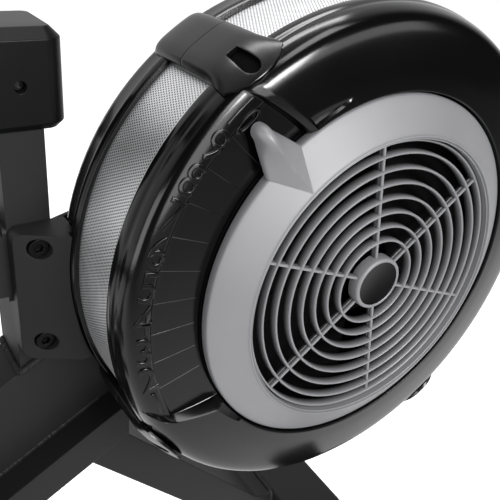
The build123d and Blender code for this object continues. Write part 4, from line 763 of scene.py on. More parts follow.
nose_start, nose_length, nose_narrow, nose_round = 211.6, 14.0, 215.0, 218.0
cone_edge, cone_height, cone_slope, crest_slope = 182.0, -11.3, 0.53, 0.056
lever_stations = [lever_tip, 225.3, 224.6, 223.4, 221.6, 219.4, 216.6, 213.0, 208.5, 202.0, 196.0, 189.0,
                  lever_waist, 176.0, 169.0, 161.0, 155.0, 151.0]
lever_work = bmesh.new()
lever_rows = []
for station in lever_stations:
    nose = min(max((station - nose_start) / nose_length, 0.0), 1.0)
    round_end = math.sqrt(max(1 - nose * nose, 0.0))
    if station >= lever_waist:
        edge = cone_height - 1.6 * step((station - lever_waist) / 30.0)
        half = waist_half + (station - lever_waist) * (nose_half - waist_half) / (nose_narrow - lever_waist)
        tip_share = max(station - nose_round, 0.0) / 7.65
        half = max(half, nose_half) * math.sqrt(max(1 - tip_share ** 2, 0.0))
    else:
        edge = cone_height + (cone_edge - station) * cone_slope
        half = waist_half * (station - lever_root) / (lever_waist - lever_root)
    crest = 0.6 + (221.0 - station) * crest_slope
    crest = edge - 1.0 + (crest - edge + 1.0) * round_end
    bulge = step((station - 200.0) / 16.0)
    row = []
    for t in [k / 8 for k in range(-8, 9)]:
        fade = abs(t) * (1 - bulge) + (1 - math.sqrt(1 - t * t)) * bulge
        turn = lever_angle + math.degrees(max(half, 0.6) * t / station)
        height = crest + (edge - crest) * fade
        row.append(lever_work.verts.new(drum_point(station / 1000, turn, height / 1000)))
    lever_rows.append(row)
for row, station in zip(lever_rows, lever_stations):
    hem = 0.0006 + 0.0042 * step((station - 176.0) / 8.0)
    row.insert(0, lever_work.verts.new(row[0].co + Vector((0, hem, 0))))
    row.append(lever_work.verts.new(row[-1].co + Vector((0, hem, 0))))
skinned(lever_work, lever_rows)
lever_work.faces.new(lever_rows[0])
lever_crest = len(lever_rows[0]) // 2
ridge_edges = [lever_work.edges.get((one[lever_crest], two[lever_crest]))
               for one, two, station in zip(lever_rows, lever_rows[1:], lever_stations) if station < 205.0]
bmesh.ops.bevel(lever_work, geom=ridge_edges, offset=0.0012, segments=3, profile=0.5, affect="EDGES")
bmesh.ops.recalc_face_normals(lever_work, faces=lever_work.faces)
if sum(f.normal.y * f.calc_area() for f in lever_work.faces) > 0:
    bmesh.ops.reverse_faces(lever_work, faces=lever_work.faces)
damper_lever = placed("damper_lever", meshed("damper_lever", lever_work))
for piece, smooth in ((damper_ring, 35), (damper_lever, 50)):
    dressed(piece, silver_paint, smooth)
    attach(piece, "damper")
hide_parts("damper_ring")

# Inlet grille: one silver moulding of round-topped hoops on six spokes with stepped sides, and a plain
# black disc set in its hub. It screws over the damper ring's inner lip. Its silver colour fades to
# near black towards the back of the hoops and spokes, as painted shade in the depth between them.
grille_hoops = [44.5 + 14.56 * k for k in range(7)] + [143.6]
spoke_count, spoke_angle, spoke_ends = 6, 98, (24.0, 142.5)
shade_depth_start, shade_depth_end = -0.0022, -0.0085
grille_silver = finish("grille_silver", (0.128, 0.128, 0.133, 1), (0.165, 0.165, 0.171, 1),
                       (0.4, 0.48), 5200, 0.00004, drift=10.0, metallic=0.2, specular=0.45)
grille_nodes, grille_links = grille_silver.node_tree.nodes, grille_silver.node_tree.links
grille_depth = grille_nodes.new("ShaderNodeSeparateXYZ")
grille_links.new(grille_nodes.new("ShaderNodeTexCoord").outputs["Object"], grille_depth.inputs[0])
# Painted shade: the silver's colour darkens with depth behind the grille's face, to near black at the back.
painted_shade_fade = grille_nodes.new("ShaderNodeMapRange")
for socket, value in (("From Min", drum_point(0, 0, shade_depth_start).y),
                      ("From Max", drum_point(0, 0, shade_depth_end).y), ("To Min", 1.0), ("To Max", 0.06)):
    painted_shade_fade.inputs[socket].default_value = value
grille_links.new(grille_depth.outputs["Y"], painted_shade_fade.inputs["Value"])
painted_shade_tone = grille_nodes.new("ShaderNodeMix")
painted_shade_tone.data_type = "RGBA"
painted_shade_tone.inputs[6].default_value = (0.004, 0.004, 0.0042, 1)
grille_skin = grille_nodes["Principled BSDF"]
grille_links.new(painted_shade_fade.outputs[0], painted_shade_tone.inputs[0])
grille_links.new(grille_skin.inputs["Base Color"].links[0].from_socket, painted_shade_tone.inputs[7])
grille_links.new(painted_shade_tone.outputs[2], grille_skin.inputs["Base Color"])
grille_work = bmesh.new()
hoop_section = [(-1.5, -9.5), (-1.3, -1.6), (-0.95, -0.5), (-0.4, 0.0), (0.4, 0.0), (0.95, -0.5), (1.3, -1.6),
                (1.5, -9.5)]
for hoop in grille_hoops:
    ring = []
    for k in range(180):
        ring.append([grille_work.verts.new(drum_point((hoop + r) / 1000, 2 * k, h / 1000))
                     for r, h in hoop_section])
    for one, two in zip(ring, ring[1:] + ring[:1]):
        joined(grille_work, one, two)
bmesh.ops.recalc_face_normals(grille_work, faces=grille_work.faces)
inlet_hoops = placed("inlet_grille_hoops", meshed("inlet_grille_hoops", grille_work))
dressed(inlet_hoops, grille_silver, 40)
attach(inlet_hoops, "frame")
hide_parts("damper_grille")
spoke_work = bmesh.new()
spoke_side = [(0.9, -1.7), (1.4, -2.6), (1.5, -4.1), (1.3, -4.4), (1.3, -5.7), (1.8, -6.2), (1.9, -9.0)]
spoke_section = [(-t, h) for t, h in spoke_side[::-1]] + spoke_side
ends = []
for radius in spoke_ends:
    end = []
    for t, h in spoke_section:
        turn = spoke_angle + math.degrees(math.atan2(t, radius))
        end.append(spoke_work.verts.new(drum_point(math.hypot(radius, t) / 1000, turn, h / 1000)))
    ends.append(end)
joined(spoke_work, *ends)
for end in ends:
    spoke_work.faces.new(end)
bmesh.ops.recalc_face_normals(spoke_work, faces=spoke_work.faces)
spoke_mesh = meshed("grille_spoke", spoke_work)
repeated("inlet_grille_spokes", spoke_mesh, spoke_count, grille_silver, "silver", "frame")
hub_line = [(0.01, 1.6), (22.4, 1.6), (22.9, 1.9), (23.2, 2.8), (23.8, 3.4), (25.4, 3.4), (26.6, 2.6),
            (27.2, 0.8), (27.4, -9.0)]
badge_black = finish("badge_black", (0.0012, 0.0012, 0.0013, 1), (0.002, 0.002, 0.0021, 1),
                     (0.26, 0.34), 1900, 0.00002, specular=0.14)
for name, line, material, slot_name in (("grille_hub", hub_line[3:], silver_paint, "silver"),
                                        ("hub_disc", hub_line[:4], badge_black, "gloss_black")):
    piece = sheet_of(name, [[drum_point(r / 1000, 3 * k, h / 1000) for r, h in line] for k in range(120)])
    dressed(piece, material, 40)
    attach(piece, "frame")
    if name == "hub_disc":
        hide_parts("hub_badge")

# Far cover's fixings and the post's cap: eight button-head screws hold the far cover to its flange,
# and a satin moulded hood is pushed over the post's top with one screw in its side.
screw_count, screw_circle, screw_face = 8, 236, -40.0
zinc_black = finish("zinc_black", (0.004, 0.004, 0.0042, 1), (0.007, 0.007, 0.0074, 1),
                    (0.3, 0.42), 1400, 0.00002, metallic=0.4)
cap_plastic = finish("cap_plastic", (0.0016, 0.0016, 0.0017, 1), (0.0026, 0.0026, 0.0028, 1),
                     (0.3, 0.4), 1900, 0.00004, specular=0.1)


def turned(name, profile, steps=28):
    """A mesh turned about its own Z axis from radius and height pairs, in millimetres."""
    work = bmesh.new()
    rings = []
    for k in range(steps):
        angle = 2 * math.pi * k / steps
        rings.append([work.verts.new((r / 1000 * math.cos(angle), r / 1000 * math.sin(angle), h / 1000))
                      for r, h in profile])
    for one, two in zip(rings, rings[1:] + rings[:1]):
        for k in range(len(profile) - 1):
            work.faces.new((one[k], two[k], two[k + 1], one[k + 1]))
    bmesh.ops.remove_doubles(work, verts=work.verts, dist=2e-5)
    bmesh.ops.recalc_face_normals(work, faces=work.faces)
    mesh = meshed(name, work)
    mesh.shade_smooth()
    mesh.set_sharp_from_angle(angle=math.radians(40))
    return mesh


def set_on_places():
    """Geometry Nodes tree: one piece on every point, its Z axis turned to the point's own aim."""
    tree, sizes, given = grower("set_on_places", (("Piece", "Object", None), ("Skin", "Material", None)))
    source = tree.nodes.new("GeometryNodeObjectInfo")
    tree.links.new(given.outputs["Piece"], source.inputs["Object"])
    aim = tree.nodes.new("GeometryNodeInputNamedAttribute")
    aim.data_type = "FLOAT_VECTOR"
    aim.inputs["Name"].default_value = "aim"
    lean = tree.nodes.new("GeometryNodeInputNamedAttribute")
    lean.data_type = "FLOAT_VECTOR"
    lean.inputs["Name"].default_value = "lean"
    upright = tree.nodes.new("FunctionNodeAlignRotationToVector")
    upright.axis = "Z"
    tree.links.new(aim.outputs[0], upright.inputs["Vector"])
    facing = tree.nodes.new("FunctionNodeAlignRotationToVector")
    facing.axis = "X"
    facing.pivot_axis = "Z"
    tree.links.new(upright.outputs[0], facing.inputs["Rotation"])
    tree.links.new(lean.outputs[0], facing.inputs["Vector"])
    place = tree.nodes.new("GeometryNodeInstanceOnPoints")
    tree.links.new(given.outputs["Geometry"], place.inputs["Points"])
    tree.links.new(source.outputs["Geometry"], place.inputs["Instance"])
    tree.links.new(facing.outputs[0], place.inputs["Rotation"])
    coated(tree, place.outputs[0], given.outputs["Skin"])
    return tree, sizes


places_tree, places_sizes = set_on_places()


def fitted(name, mesh, places, material, slot, body):
    """Copies of one small mesh at the given places, each a point, an aim and the way its X axis leans."""
    source = placed(name + "_one", mesh)
    points = bpy.data.meshes.new(name + "_places")
    points.from_pydata([tuple(v / 1000 for v in spot) for spot, aim, lean in places], [], [])
    for label, column in (("aim", 1), ("lean", 2)):
        values = points.attributes.new(label, "FLOAT_VECTOR", "POINT")
        for k, entry in enumerate(places):
            values.data[k].vector = entry[column]
    inputs = {places_sizes["Piece"]: source, places_sizes["Skin"]: material}
    piece = grown(name, points, places_tree, inputs, slot, body)
    bpy.data.objects.remove(source)
    return piece


button_head = turned("button_head", [(0.0, 0.9), (2.2, 0.9), (2.25, 2.4), (2.7, 2.6), (4.2, 2.2), (5.3, 1.2),
                                     (5.6, 0.0)])
cover_heads = []
for k in range(screw_count):
    turn = 2 * math.pi * (k + 0.5) / screw_count
    across, up = screw_circle * math.cos(turn), screw_circle * math.sin(turn)
    cover_heads.append(((axis_x * 1000 + across, screw_face, axis_z * 1000 + up), (0, 1, 0), (1, 0, 0)))
fitted("far_cover_screws", button_head, cover_heads, zinc_black, "bright_steel", "frame")
rounded("post_cap", cap_plastic, 0.002)
sunk_head = turned("sunk_head", [(0.0, -9.0), (1.9, -9.0), (1.95, -7.4), (2.3, -7.2), (4.3, -7.6),
                                 (4.6, -8.2), (4.6, -11.0)])
post_low, post_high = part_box("post")
cap_spot = ((post_low.x + post_high.x) * 500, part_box("post_cap")[0].y * 1000, 699.0)
fitted("post_cap_screw", sunk_head, [(cap_spot, (0, -1, 0), (1, 0, 0))], zinc_black, "bright_steel", "frame")

# Neck bolts and weld beads: two socket bolts clamp the drum's arm to the post through the cast bracket,
# and beads of weld metal, painted over with the tubes, close the joints of the frame.
# The neck bolts take a very dark, low-sheen black: partly their black oxide, partly painted shade, so the
# heads read as the shaded sockets they sit in.
bolt_black_and_shade = finish("bolt_black_and_shade", (0.0006, 0.0006, 0.0006, 1), (0.001, 0.001, 0.001, 1),
                    (0.3, 0.4), 1500, 0.00002, specular=0.12)
rounded("neck_bolts", bolt_black_and_shade, 0.0006)
beam_slope = math.radians(29)
rise, run = math.sin(beam_slope), math.cos(beam_slope)


def slope_place(along, across, up):
    """Place on the sloping beam: along it, across it and square to it, in millimetres."""
    return (along * run - up * rise, across, along * rise + up * run)


def slope_reach(node):
    """How far each vertex of a node lies along the sloping beam and square to it, in millimetres."""
    return [((v.co.x * run + v.co.z * rise) * 1000, (v.co.z * run - v.co.x * rise) * 1000)
            for v in nodes[node].data.vertices]


lower_reach = slope_reach("lower_beam")
seam_start = min(along for along, up in lower_reach) + 14
seam_end = max(along for along, up in lower_reach) - 26
seam_up = max(up for along, up in lower_reach)
beam_top = max(up for along, up in slope_reach("main_beam") if along * run - up * rise > 600)
seams = [[slope_place(seam_start + (seam_end - seam_start) * k / 24, side, seam_up + 2.0) for k in range(25)]
         for side in (-27.0, 27.0)]
back, front, side = post_low.x * 1000, post_high.x * 1000, post_high.y * 1000
post_round = [(back, -side - 1), (front, -side - 1), (front + 1, -side), (front + 1, side), (front, side + 1),
              (back, side + 1), (back - 1, side), (back - 1, -side), (back, -side - 1)]
seams.append([(x, y, (beam_top + x * rise) / run + 1.0) for x, y in post_round])
seams.append([(940.0, y, z) for y, z in ((-40, 10), (-40, 50), (-36, 54), (36, 54), (40, 50), (40, 10))])
leg_foot = [v.co.x * 1000 for v in nodes["rear_leg"].data.vertices if v.co.z < 0.056]
back, front = min(leg_foot), max(leg_foot)
seams.append([(x, y, 56.0) for x, y in ((back, -30), (front, -30), (front, 30), (back, 30), (back, -30))])


def weld_bead():
    """Geometry Nodes tree: overlapping lens-shaped ripples along a seam's line."""
    tree, sizes, given = grower("weld_bead", (
        ("Ripple", "Float", 0.0026), ("Radius", "Float", 0.0042), ("Seed", "Int", 0),
        ("Skin", "Material", None)))
    line = tree.nodes.new("GeometryNodeMeshToCurve")
    tree.links.new(given.outputs["Geometry"], line.inputs["Mesh"])
    count = tree.nodes.new("GeometryNodeCurveToPoints")
    count.mode = "LENGTH"
    tree.links.new(line.outputs[0], count.inputs["Curve"])
    tree.links.new(given.outputs["Ripple"], count.inputs["Length"])
    ball = tree.nodes.new("GeometryNodeMeshUVSphere")
    ball.inputs["Segments"].default_value = 12
    ball.inputs["Rings"].default_value = 8
    tree.links.new(given.outputs["Radius"], ball.inputs["Radius"])
    vary = tree.nodes.new("FunctionNodeRandomValue")
    vary.data_type = "FLOAT"
    vary.inputs[2].default_value = 0.86
    vary.inputs[3].default_value = 1.1
    tree.links.new(given.outputs["Seed"], vary.inputs["Seed"])
    place = tree.nodes.new("GeometryNodeInstanceOnPoints")
    tree.links.new(count.outputs["Points"], place.inputs["Points"])
    tree.links.new(ball.outputs["Mesh"], place.inputs["Instance"])
    tree.links.new(count.outputs["Rotation"], place.inputs["Rotation"])
    tree.links.new(vary.outputs[1], place.inputs["Scale"])
    soft = tree.nodes.new("GeometryNodeSetShadeSmooth")
    tree.links.new(place.outputs[0], soft.inputs[0])
    coated(tree, soft.outputs[0], given.outputs["Skin"])
    return tree, sizes


def along_lines(name, tree, values, lines, slot, body):
    """A plain mesh piece grown by a Geometry Nodes tree along lines of points given in millimetres."""
    points, edges = [], []
    for line in lines:
        edges += [(len(points) + k, len(points) + k + 1) for k in range(len(line) - 1)]
        points += [tuple(v / 1000 for v in spot) for spot in line]
    wire = bpy.data.meshes.new(name + "_lines")
    wire.from_pydata(points, edges, [])
    return grown(name, wire, tree, values, slot, body)


bead_tree, bead_sizes = weld_bead()
along_lines("weld_beads", bead_tree, {bead_sizes["Skin"]: powder_coat}, seams, "frame_steel", "frame")

# Drive behind the drum: the strap winds on a moulded spool with a one-way clutch, and a flat spring in
# a pressed steel case draws it back. A moulded cover screws over them.
moulded_black = finish("moulded_black", (0.006, 0.006, 0.0063, 1), (0.009, 0.009, 0.0095, 1),
                       (0.4, 0.52), 1800, 0.00005, specular=0.4)
bright_steel = finish("bright_steel", (0.50, 0.50, 0.51, 1), (0.62, 0.62, 0.63, 1),
                      (0.2, 0.3), 900, 0.00001, metallic=1.0)
for name in ("recoil_spring_case", "recoil_spring", "guide_pin", "one_way_clutch"):
    rounded(name, bright_steel, 0.0005)
for name in ("drive_cover", "strap_spool", "guide_roller"):
    rounded(name, moulded_black, 0.0015)
drive_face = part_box("drive_cover")[1].y * 1000
drive_heads = [((x, drive_face, z), (0, 1, 0), (1, 0, 0))
               for x, z in ((931, 530), (886, 565), (886, 495), (712, 504))]
fitted("drive_cover_screws", button_head, drive_heads, zinc_black, "bright_steel", "frame")

# Drive strap: black polyester webbing, 24 by 2 mm, woven with long ribs. It runs over the guide roller
# to the handle's clip.
strap_start, strap_end = Vector((0.612, 0, 0.543)), Vector((0.474, 0, 0.53))
strap_cuts = 48


def webbing_weave():
    """Shader group: the ribs along a band, side by side in Y, and the finer threads across them."""
    tree = bpy.data.node_groups.new("webbing_weave", "ShaderNodeTree")
    tree.interface.new_socket("Place", in_out="INPUT", socket_type="NodeSocketVector")
    tree.interface.new_socket("Pitch", in_out="INPUT", socket_type="NodeSocketFloat").default_value = 130.0
    tree.interface.new_socket("Weave", in_out="OUTPUT", socket_type="NodeSocketFloat")
    given = tree.nodes.new("NodeGroupInput")
    both = tree.nodes.new("ShaderNodeMath")
    both.operation = "MULTIPLY"
    for k, (direction, finer) in enumerate((("Y", 1.0), ("X", 2.4))):
        pitch = tree.nodes.new("ShaderNodeMath")
        pitch.operation = "MULTIPLY"
        pitch.inputs[1].default_value = finer
        tree.links.new(given.outputs["Pitch"], pitch.inputs[0])
        wave = tree.nodes.new("ShaderNodeTexWave")
        wave.bands_direction = direction
        wave.inputs["Distortion"].default_value = 0.6
        wave.inputs["Detail"].default_value = 1.0
        tree.links.new(given.outputs["Place"], wave.inputs["Vector"])
        tree.links.new(pitch.outputs[0], wave.inputs["Scale"])
        tree.links.new(wave.outputs["Fac"], both.inputs[k])
    made = tree.nodes.new("NodeGroupOutput")
    tree.links.new(both.outputs[0], made.inputs["Weave"])
    return tree


band_weave = webbing_weave()


def woven(name, pitch, tilt):
    """A black webbing whose ribs lie side by side in Y, or in Z where it is tilted a quarter turn."""
    material = bpy.data.materials.new(name)
    material.use_nodes = True
    tree = material.node_tree
    skin = tree.nodes["Principled BSDF"]
    place = tree.nodes.new("ShaderNodeMapping")
    place.inputs["Rotation"].default_value = (math.radians(tilt), 0, 0)
    tree.links.new(tree.nodes.new("ShaderNodeTexCoord").outputs["Object"], place.inputs["Vector"])
    weave = tree.nodes.new("ShaderNodeGroup")
    weave.node_tree = band_weave
    weave.inputs["Pitch"].default_value = pitch
    tree.links.new(place.outputs[0], weave.inputs["Place"])
    tone = tree.nodes.new("ShaderNodeMix")
    tone.data_type = "RGBA"
    tone.inputs[6].default_value = (0.008, 0.008, 0.009, 1)
    tone.inputs[7].default_value = (0.03, 0.03, 0.032, 1)
    tree.links.new(weave.outputs["Weave"], tone.inputs[0])
    tree.links.new(tone.outputs[2], skin.inputs["Base Color"])
    threads = tree.nodes.new("ShaderNodeBump")
    threads.inputs["Distance"].default_value = 0.0004
    tree.links.new(weave.outputs["Weave"], threads.inputs["Height"])
    tree.links.new(threads.outputs[0], skin.inputs["Normal"])
    skin.inputs["Roughness"].default_value = 0.72
    skin.inputs["Sheen Weight"].default_value = 0.2
    return material


strap_webbing = woven("strap_webbing", 130.0, 0)
rounded("wound_strap", strap_webbing, 0.0)
strap_work = bmesh.new()
strap_work.from_mesh(nodes["drive_strap"].data)
bmesh.ops.remove_doubles(strap_work, verts=strap_work.verts, dist=2e-5)
for k in range(strap_cuts):
    cut_x = strap_end.x + (strap_start.x - strap_end.x) * (k + 0.5) / strap_cuts
    bmesh.ops.bisect_plane(strap_work, geom=strap_work.verts[:] + strap_work.edges[:] + strap_work.faces[:],
                           plane_co=(cut_x, 0, 0), plane_no=(1, 0, 0))
strap_piece = placed("drive_strap_webbing", meshed("drive_strap_webbing", strap_work))
dressed(strap_piece, strap_webbing, 40)
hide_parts("drive_strap")
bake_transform(strap_piece)

# Handle: a swept steel bar in satin black paint, clipped to the strap, with two foam sleeves
# pushed over its ends.
bar_paint = finish("bar_paint", (0.006, 0.006, 0.0062, 1), (0.009, 0.009, 0.0095, 1),
                   (0.28, 0.36), 1500, 0.00002)
grip_foam = finish("grip_foam", (0.007, 0.007, 0.007, 1), (0.014, 0.014, 0.014, 1),
                   (0.75, 0.88), 1100, 0.0005, drift=40.0, specular=0.25)
rounded("handle_bar", bar_paint, 0.0012)
rounded("handle_grips", grip_foam, 0.003)

# Rail: one aluminium extrusion, satin anodised, with the fine straight lines that the die leaves along it.
# Rubber bumpers are screwed to its top at both ends of the seat's travel.
rail_metal = bpy.data.materials.new("rail_metal")
rail_metal.use_nodes = True
rail_tree = rail_metal.node_tree
rail_skin = rail_tree.nodes["Principled BSDF"]
rail_skin.inputs["Metallic"].default_value = 1.0
drawn = rail_tree.nodes.new("ShaderNodeMapping")
drawn.inputs["Scale"].default_value = (3.0, 900.0, 900.0)
rail_tree.links.new(rail_tree.nodes.new("ShaderNodeTexCoord").outputs["Object"], drawn.inputs["Vector"])
die_lines = rail_tree.nodes.new("ShaderNodeTexNoise")
die_lines.inputs["Scale"].default_value = 1.0
die_lines.inputs["Detail"].default_value = 4.0
rail_tree.links.new(drawn.outputs[0], die_lines.inputs["Vector"])
for socket, low, high in (("Roughness", 0.36, 0.5),
                          ("Base Color", (0.23, 0.23, 0.236, 1), (0.3, 0.3, 0.307, 1))):
    mixed = rail_tree.nodes.new("ShaderNodeMix")
    rail_tree.links.new(die_lines.outputs["Fac"], mixed.inputs[0])
    if socket == "Base Color":
        mixed.data_type = "RGBA"
        mixed.inputs[6].default_value, mixed.inputs[7].default_value = low, high
        rail_tree.links.new(mixed.outputs[2], rail_skin.inputs[socket])
    else:
        mixed.inputs[2].default_value, mixed.inputs[3].default_value = low, high
        rail_tree.links.new(mixed.outputs[0], rail_skin.inputs[socket])
die_bump = rail_tree.nodes.new("ShaderNodeBump")
die_bump.inputs["Distance"].default_value = 0.00002
rail_tree.links.new(die_lines.outputs["Fac"], die_bump.inputs["Height"])
rail_tree.links.new(die_bump.outputs[0], rail_skin.inputs["Normal"])
rounded("rail", rail_metal, 0.0008)
rubber = finish("rubber", (0.007, 0.007, 0.007, 1), (0.011, 0.011, 0.011, 1),
                (0.6, 0.75), 1200, 0.00006, specular=0.35)
rounded("rail_stops", rubber, 0.0015)
stop_low, stop_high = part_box("rail_stops")
stop_heads = [((x, y, stop_high.z * 1000), (0, 0, 1), (1, 0, 0))
              for x in (stop_low.x * 1000 + 10, stop_high.x * 1000 - 10) for y in (-11.0, 11.0)]
fitted("rail_stop_screws", button_head, stop_heads, bright_steel, "bright_steel", "frame")

# Seat carriage: a folded steel tray in the frame's powder coat, on four pale nylon rollers that run on
# the rail's top and turn on plain axles.
roller_white = finish("roller_white", (0.55, 0.55, 0.53, 1), (0.63, 0.63, 0.61, 1),
                      (0.38, 0.48), 900, 0.00002)
rounded("seat_carriage", powder_coat, 0.0012)
for name in ("seat_rollers_front", "seat_rollers_rear"):
    rounded(name, roller_white, 0.0012)

# Seat pad: moulded foam under stretched black vinyl, hollowed for the sit bones and bulged between its
# edges. A welted seam runs round its side with a row of stitches over it.
pad_low, pad_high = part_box("seat_pad")
pad_middle = (pad_low + pad_high) / 2
bulge_most = 0.007
hollow_depth, hollow_aside, groove_depth, tail_lift = 7.5, 62, 4.0, 2.0
vinyl = finish("seat_vinyl", (0.006, 0.006, 0.0062, 1), (0.010, 0.010, 0.0105, 1),
               (0.38, 0.5), 620, 0.00018, drift=8.0)
pad_work = bmesh.new()
pad_work.from_mesh(nodes["seat_pad"].data)
bmesh.ops.remove_doubles(pad_work, verts=pad_work.verts, dist=2e-5)
pad = placed("seat_pad_foam", meshed("seat_pad_foam", pad_work))
even = pad.modifiers.new("even", "REMESH")
even.mode = "VOXEL"
even.voxel_size = 0.005
settled(pad)
for vertex in pad.data.vertices:
    x, y, z = (vertex.co - pad_middle) * 1000
    top = step((z - 4.0) / 16.0)
    hollow = hollow_depth * math.exp(-((x + 8) / 62) ** 2 - ((abs(y) - hollow_aside) / 48) ** 2)
    groove = groove_depth * math.exp(-(y / 16) ** 2) * step((40 - x) / 90)
    edge_rise = tail_lift * step((-x - 70) / 45)
    vertex.co.z -= top * (hollow + groove - edge_rise) / 1000
before = [vertex.co.copy() for vertex in pad.data.vertices]
cloth = pad.modifiers.new("stuffing", "CLOTH")
cloth.settings.use_pressure = True
cloth.settings.uniform_pressure_force = 4.0
cloth.settings.effector_weights.gravity = 0.0
cloth.settings.quality = 5
cloth.point_cache.frame_start, cloth.point_cache.frame_end = 1, 20
for number in range(1, 21):
    scene.frame_set(number)
settled(pad)
scene.frame_set(1)
for vertex, old in zip(pad.data.vertices, before):
    move = vertex.co - old
    hold = step((old.z - pad_low.z - 0.004) / 0.018)
    if move.length > bulge_most:
        move = move * (bulge_most / move.length)
    vertex.co = old + move * hold
pad_smooth = pad.modifiers.new("round", "SUBSURF")
pad_smooth.levels = pad_smooth.render_levels = 1
settled(pad)
pad.data.shade_smooth()
pad.data.materials.clear()
pad.data.materials.append(vinyl)
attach(pad, "seat")
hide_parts("seat_pad")


def level_line(mesh, height, outward):
    """Points round a pad at one height, a little out from its skin, in millimetres."""
    work = bmesh.new()
    work.from_mesh(mesh)
    cut = bmesh.ops.bisect_plane(work, geom=work.verts[:] + work.edges[:] + work.faces[:],
                                 plane_co=(0, 0, height), plane_no=(0, 0, 1))
    spots = [v.co.copy() for v in cut["geom_cut"] if isinstance(v, bmesh.types.BMVert)]
    work.free()
    centre = sum(spots, Vector()) / len(spots)
    spots.sort(key=lambda p: math.atan2(p.y - centre.y, p.x - centre.x))
    line = []
    for k in range(0, len(spots), 2):
        out = Vector((spots[k].x - centre.x, spots[k].y - centre.y, 0)).normalized()
        line.append(tuple((spots[k] + out * outward) * 1000))
    return line + line[:1]


seam_height = pad_low.z + 0.022
stitch_pitch = 6.5
along_lines("seat_welt", bead_tree,
            {bead_sizes["Skin"]: vinyl, bead_sizes["Ripple"]: 0.0011, bead_sizes["Radius"]: 0.0019},
            [level_line(pad.data, seam_height, 0.0006)], "seat_vinyl", "seat")


def rod(name, end, steps=12):
    """A turned bar with both ends alike, from the radius and height pairs of its upper end."""
    return turned(name, [(r, -h) for r, h in end] + end[::-1], steps)


stitch = rod("stitch", [(0.0, 2.4), (0.35, 2.2), (0.5, 1.2)], 8)
stitch_line = level_line(pad.data, seam_height + 0.005, 0.0002)
stitches, travelled = [], 0.0
for one, two in zip(stitch_line, stitch_line[1:]):
    travelled += math.dist(one, two)
    if travelled >= stitch_pitch:
        travelled = 0.0
        stitches.append((two, (Vector(two) - Vector(one)).normalized(), (0, 0, 1)))
thread = finish("thread", (0.02, 0.02, 0.02, 1), (0.03, 0.03, 0.03, 1), (0.6, 0.7), 3000, 0.00003)
fitted("seat_stitches", stitch, stitches, thread, "seat_vinyl", "seat")

# Foot rests: two ribbed moulded plates on a cross bar, each with a heel cup that slides along its slots.
# Raised bars across the toe end keep the shoe from slipping.
lean = math.sin(math.radians(45))
plate_up, plate_along = Vector((-lean, 0, lean)), Vector((lean, 0, lean))
for name in ("foot_plate_left", "foot_plate_right", "heel_cup_left", "heel_cup_right"):
    rounded(name, moulded_black, 0.0012)


def foot_middle(side):
    """Middle of a foot plate, on the left or the right of the rail."""
    return Vector((0.395, side * 0.115, 0.33))


tread = rod("tread", [(0.0, 36.0), (0.9, 35.6), (1.5, 34.0)])
for side, name in ((1, "left"), (-1, "right")):
    foot = foot_middle(side)
    crown = max((v.co - foot).dot(plate_up) for v in nodes["foot_plate_" + name].data.vertices)
    bars = []
    for along in (84, 93, 102, 111, 120):
        spot = (foot + plate_along * along / 1000 + plate_up * crown) * 1000
        bars.append((tuple(spot), (0, 1, 0), tuple(plate_up)))
    fitted("foot_treads_" + name, tread, bars, moulded_black, "moulded_black", "frame")

# Foot straps: black webbing bands over the shoes, each with a moulded ladder buckle on its top and
# two rows of stitches where its tail is sewn down.
foot_webbing = woven("foot_webbing", 110.0, 90)
ladder_bar = rod("buckle_bar", [(0.0, 22.0), (1.6, 22.0), (2.1, 21.4)])
side_bar = rod("buckle_side", [(0.0, 15.0), (2.0, 15.0), (2.6, 14.4)])
buckle_lift, buckle_shift = 1.6, -6


def over_band(top, along, across, up):
    """Place off the top of a strap's band: along the plate, across it and square to it, in millimetres."""
    return top * 1000 + plate_along * along + plate_up * up + Vector((0, across, 0))


for side, name in ((1, "left"), (-1, "right")):
    rounded("foot_strap_" + name, foot_webbing, 0.0)
    foot = foot_middle(side)
    strap_shape = nodes["foot_strap_" + name].data
    spots = [v.co - foot for v in strap_shape.vertices]
    crown = max(spot.dot(plate_up) for spot in spots)
    band = sum(spot.dot(plate_along) for spot in spots) / len(spots)
    top = foot + plate_along * band + plate_up * crown
    ladder = [(over_band(top, 0, side * (across + buckle_shift), buckle_lift), plate_along, (0, 1, 0))
              for across in (-13, 0, 13)]
    fitted("strap_buckle_" + name, ladder_bar, ladder, moulded_black, "moulded_black", "frame")
    sides = [(over_band(top, along, side * buckle_shift, buckle_lift), (0, 1, 0), plate_up)
             for along in (-20.5, 20.5)]
    fitted("buckle_sides_" + name, side_bar, sides, moulded_black, "moulded_black", "frame")
    strap_skin = BVHTree.FromPolygons([v.co for v in strap_shape.vertices],
                                      [tuple(f.vertices) for f in strap_shape.polygons])
    sewn = []
    for along in (-14.0, 14.0):
        for k in range(5):
            above = over_band(top, along, side * (11 + 5 * k), 30) / 1000
            spot, normal = strap_skin.ray_cast(above, -plate_up)[:2]
            if spot:
                sewn.append(((spot + normal * 0.0002) * 1000, normal.cross(plate_along), normal))
    fitted("strap_stitches_" + name, stitch, sewn, thread, "webbing", "frame")

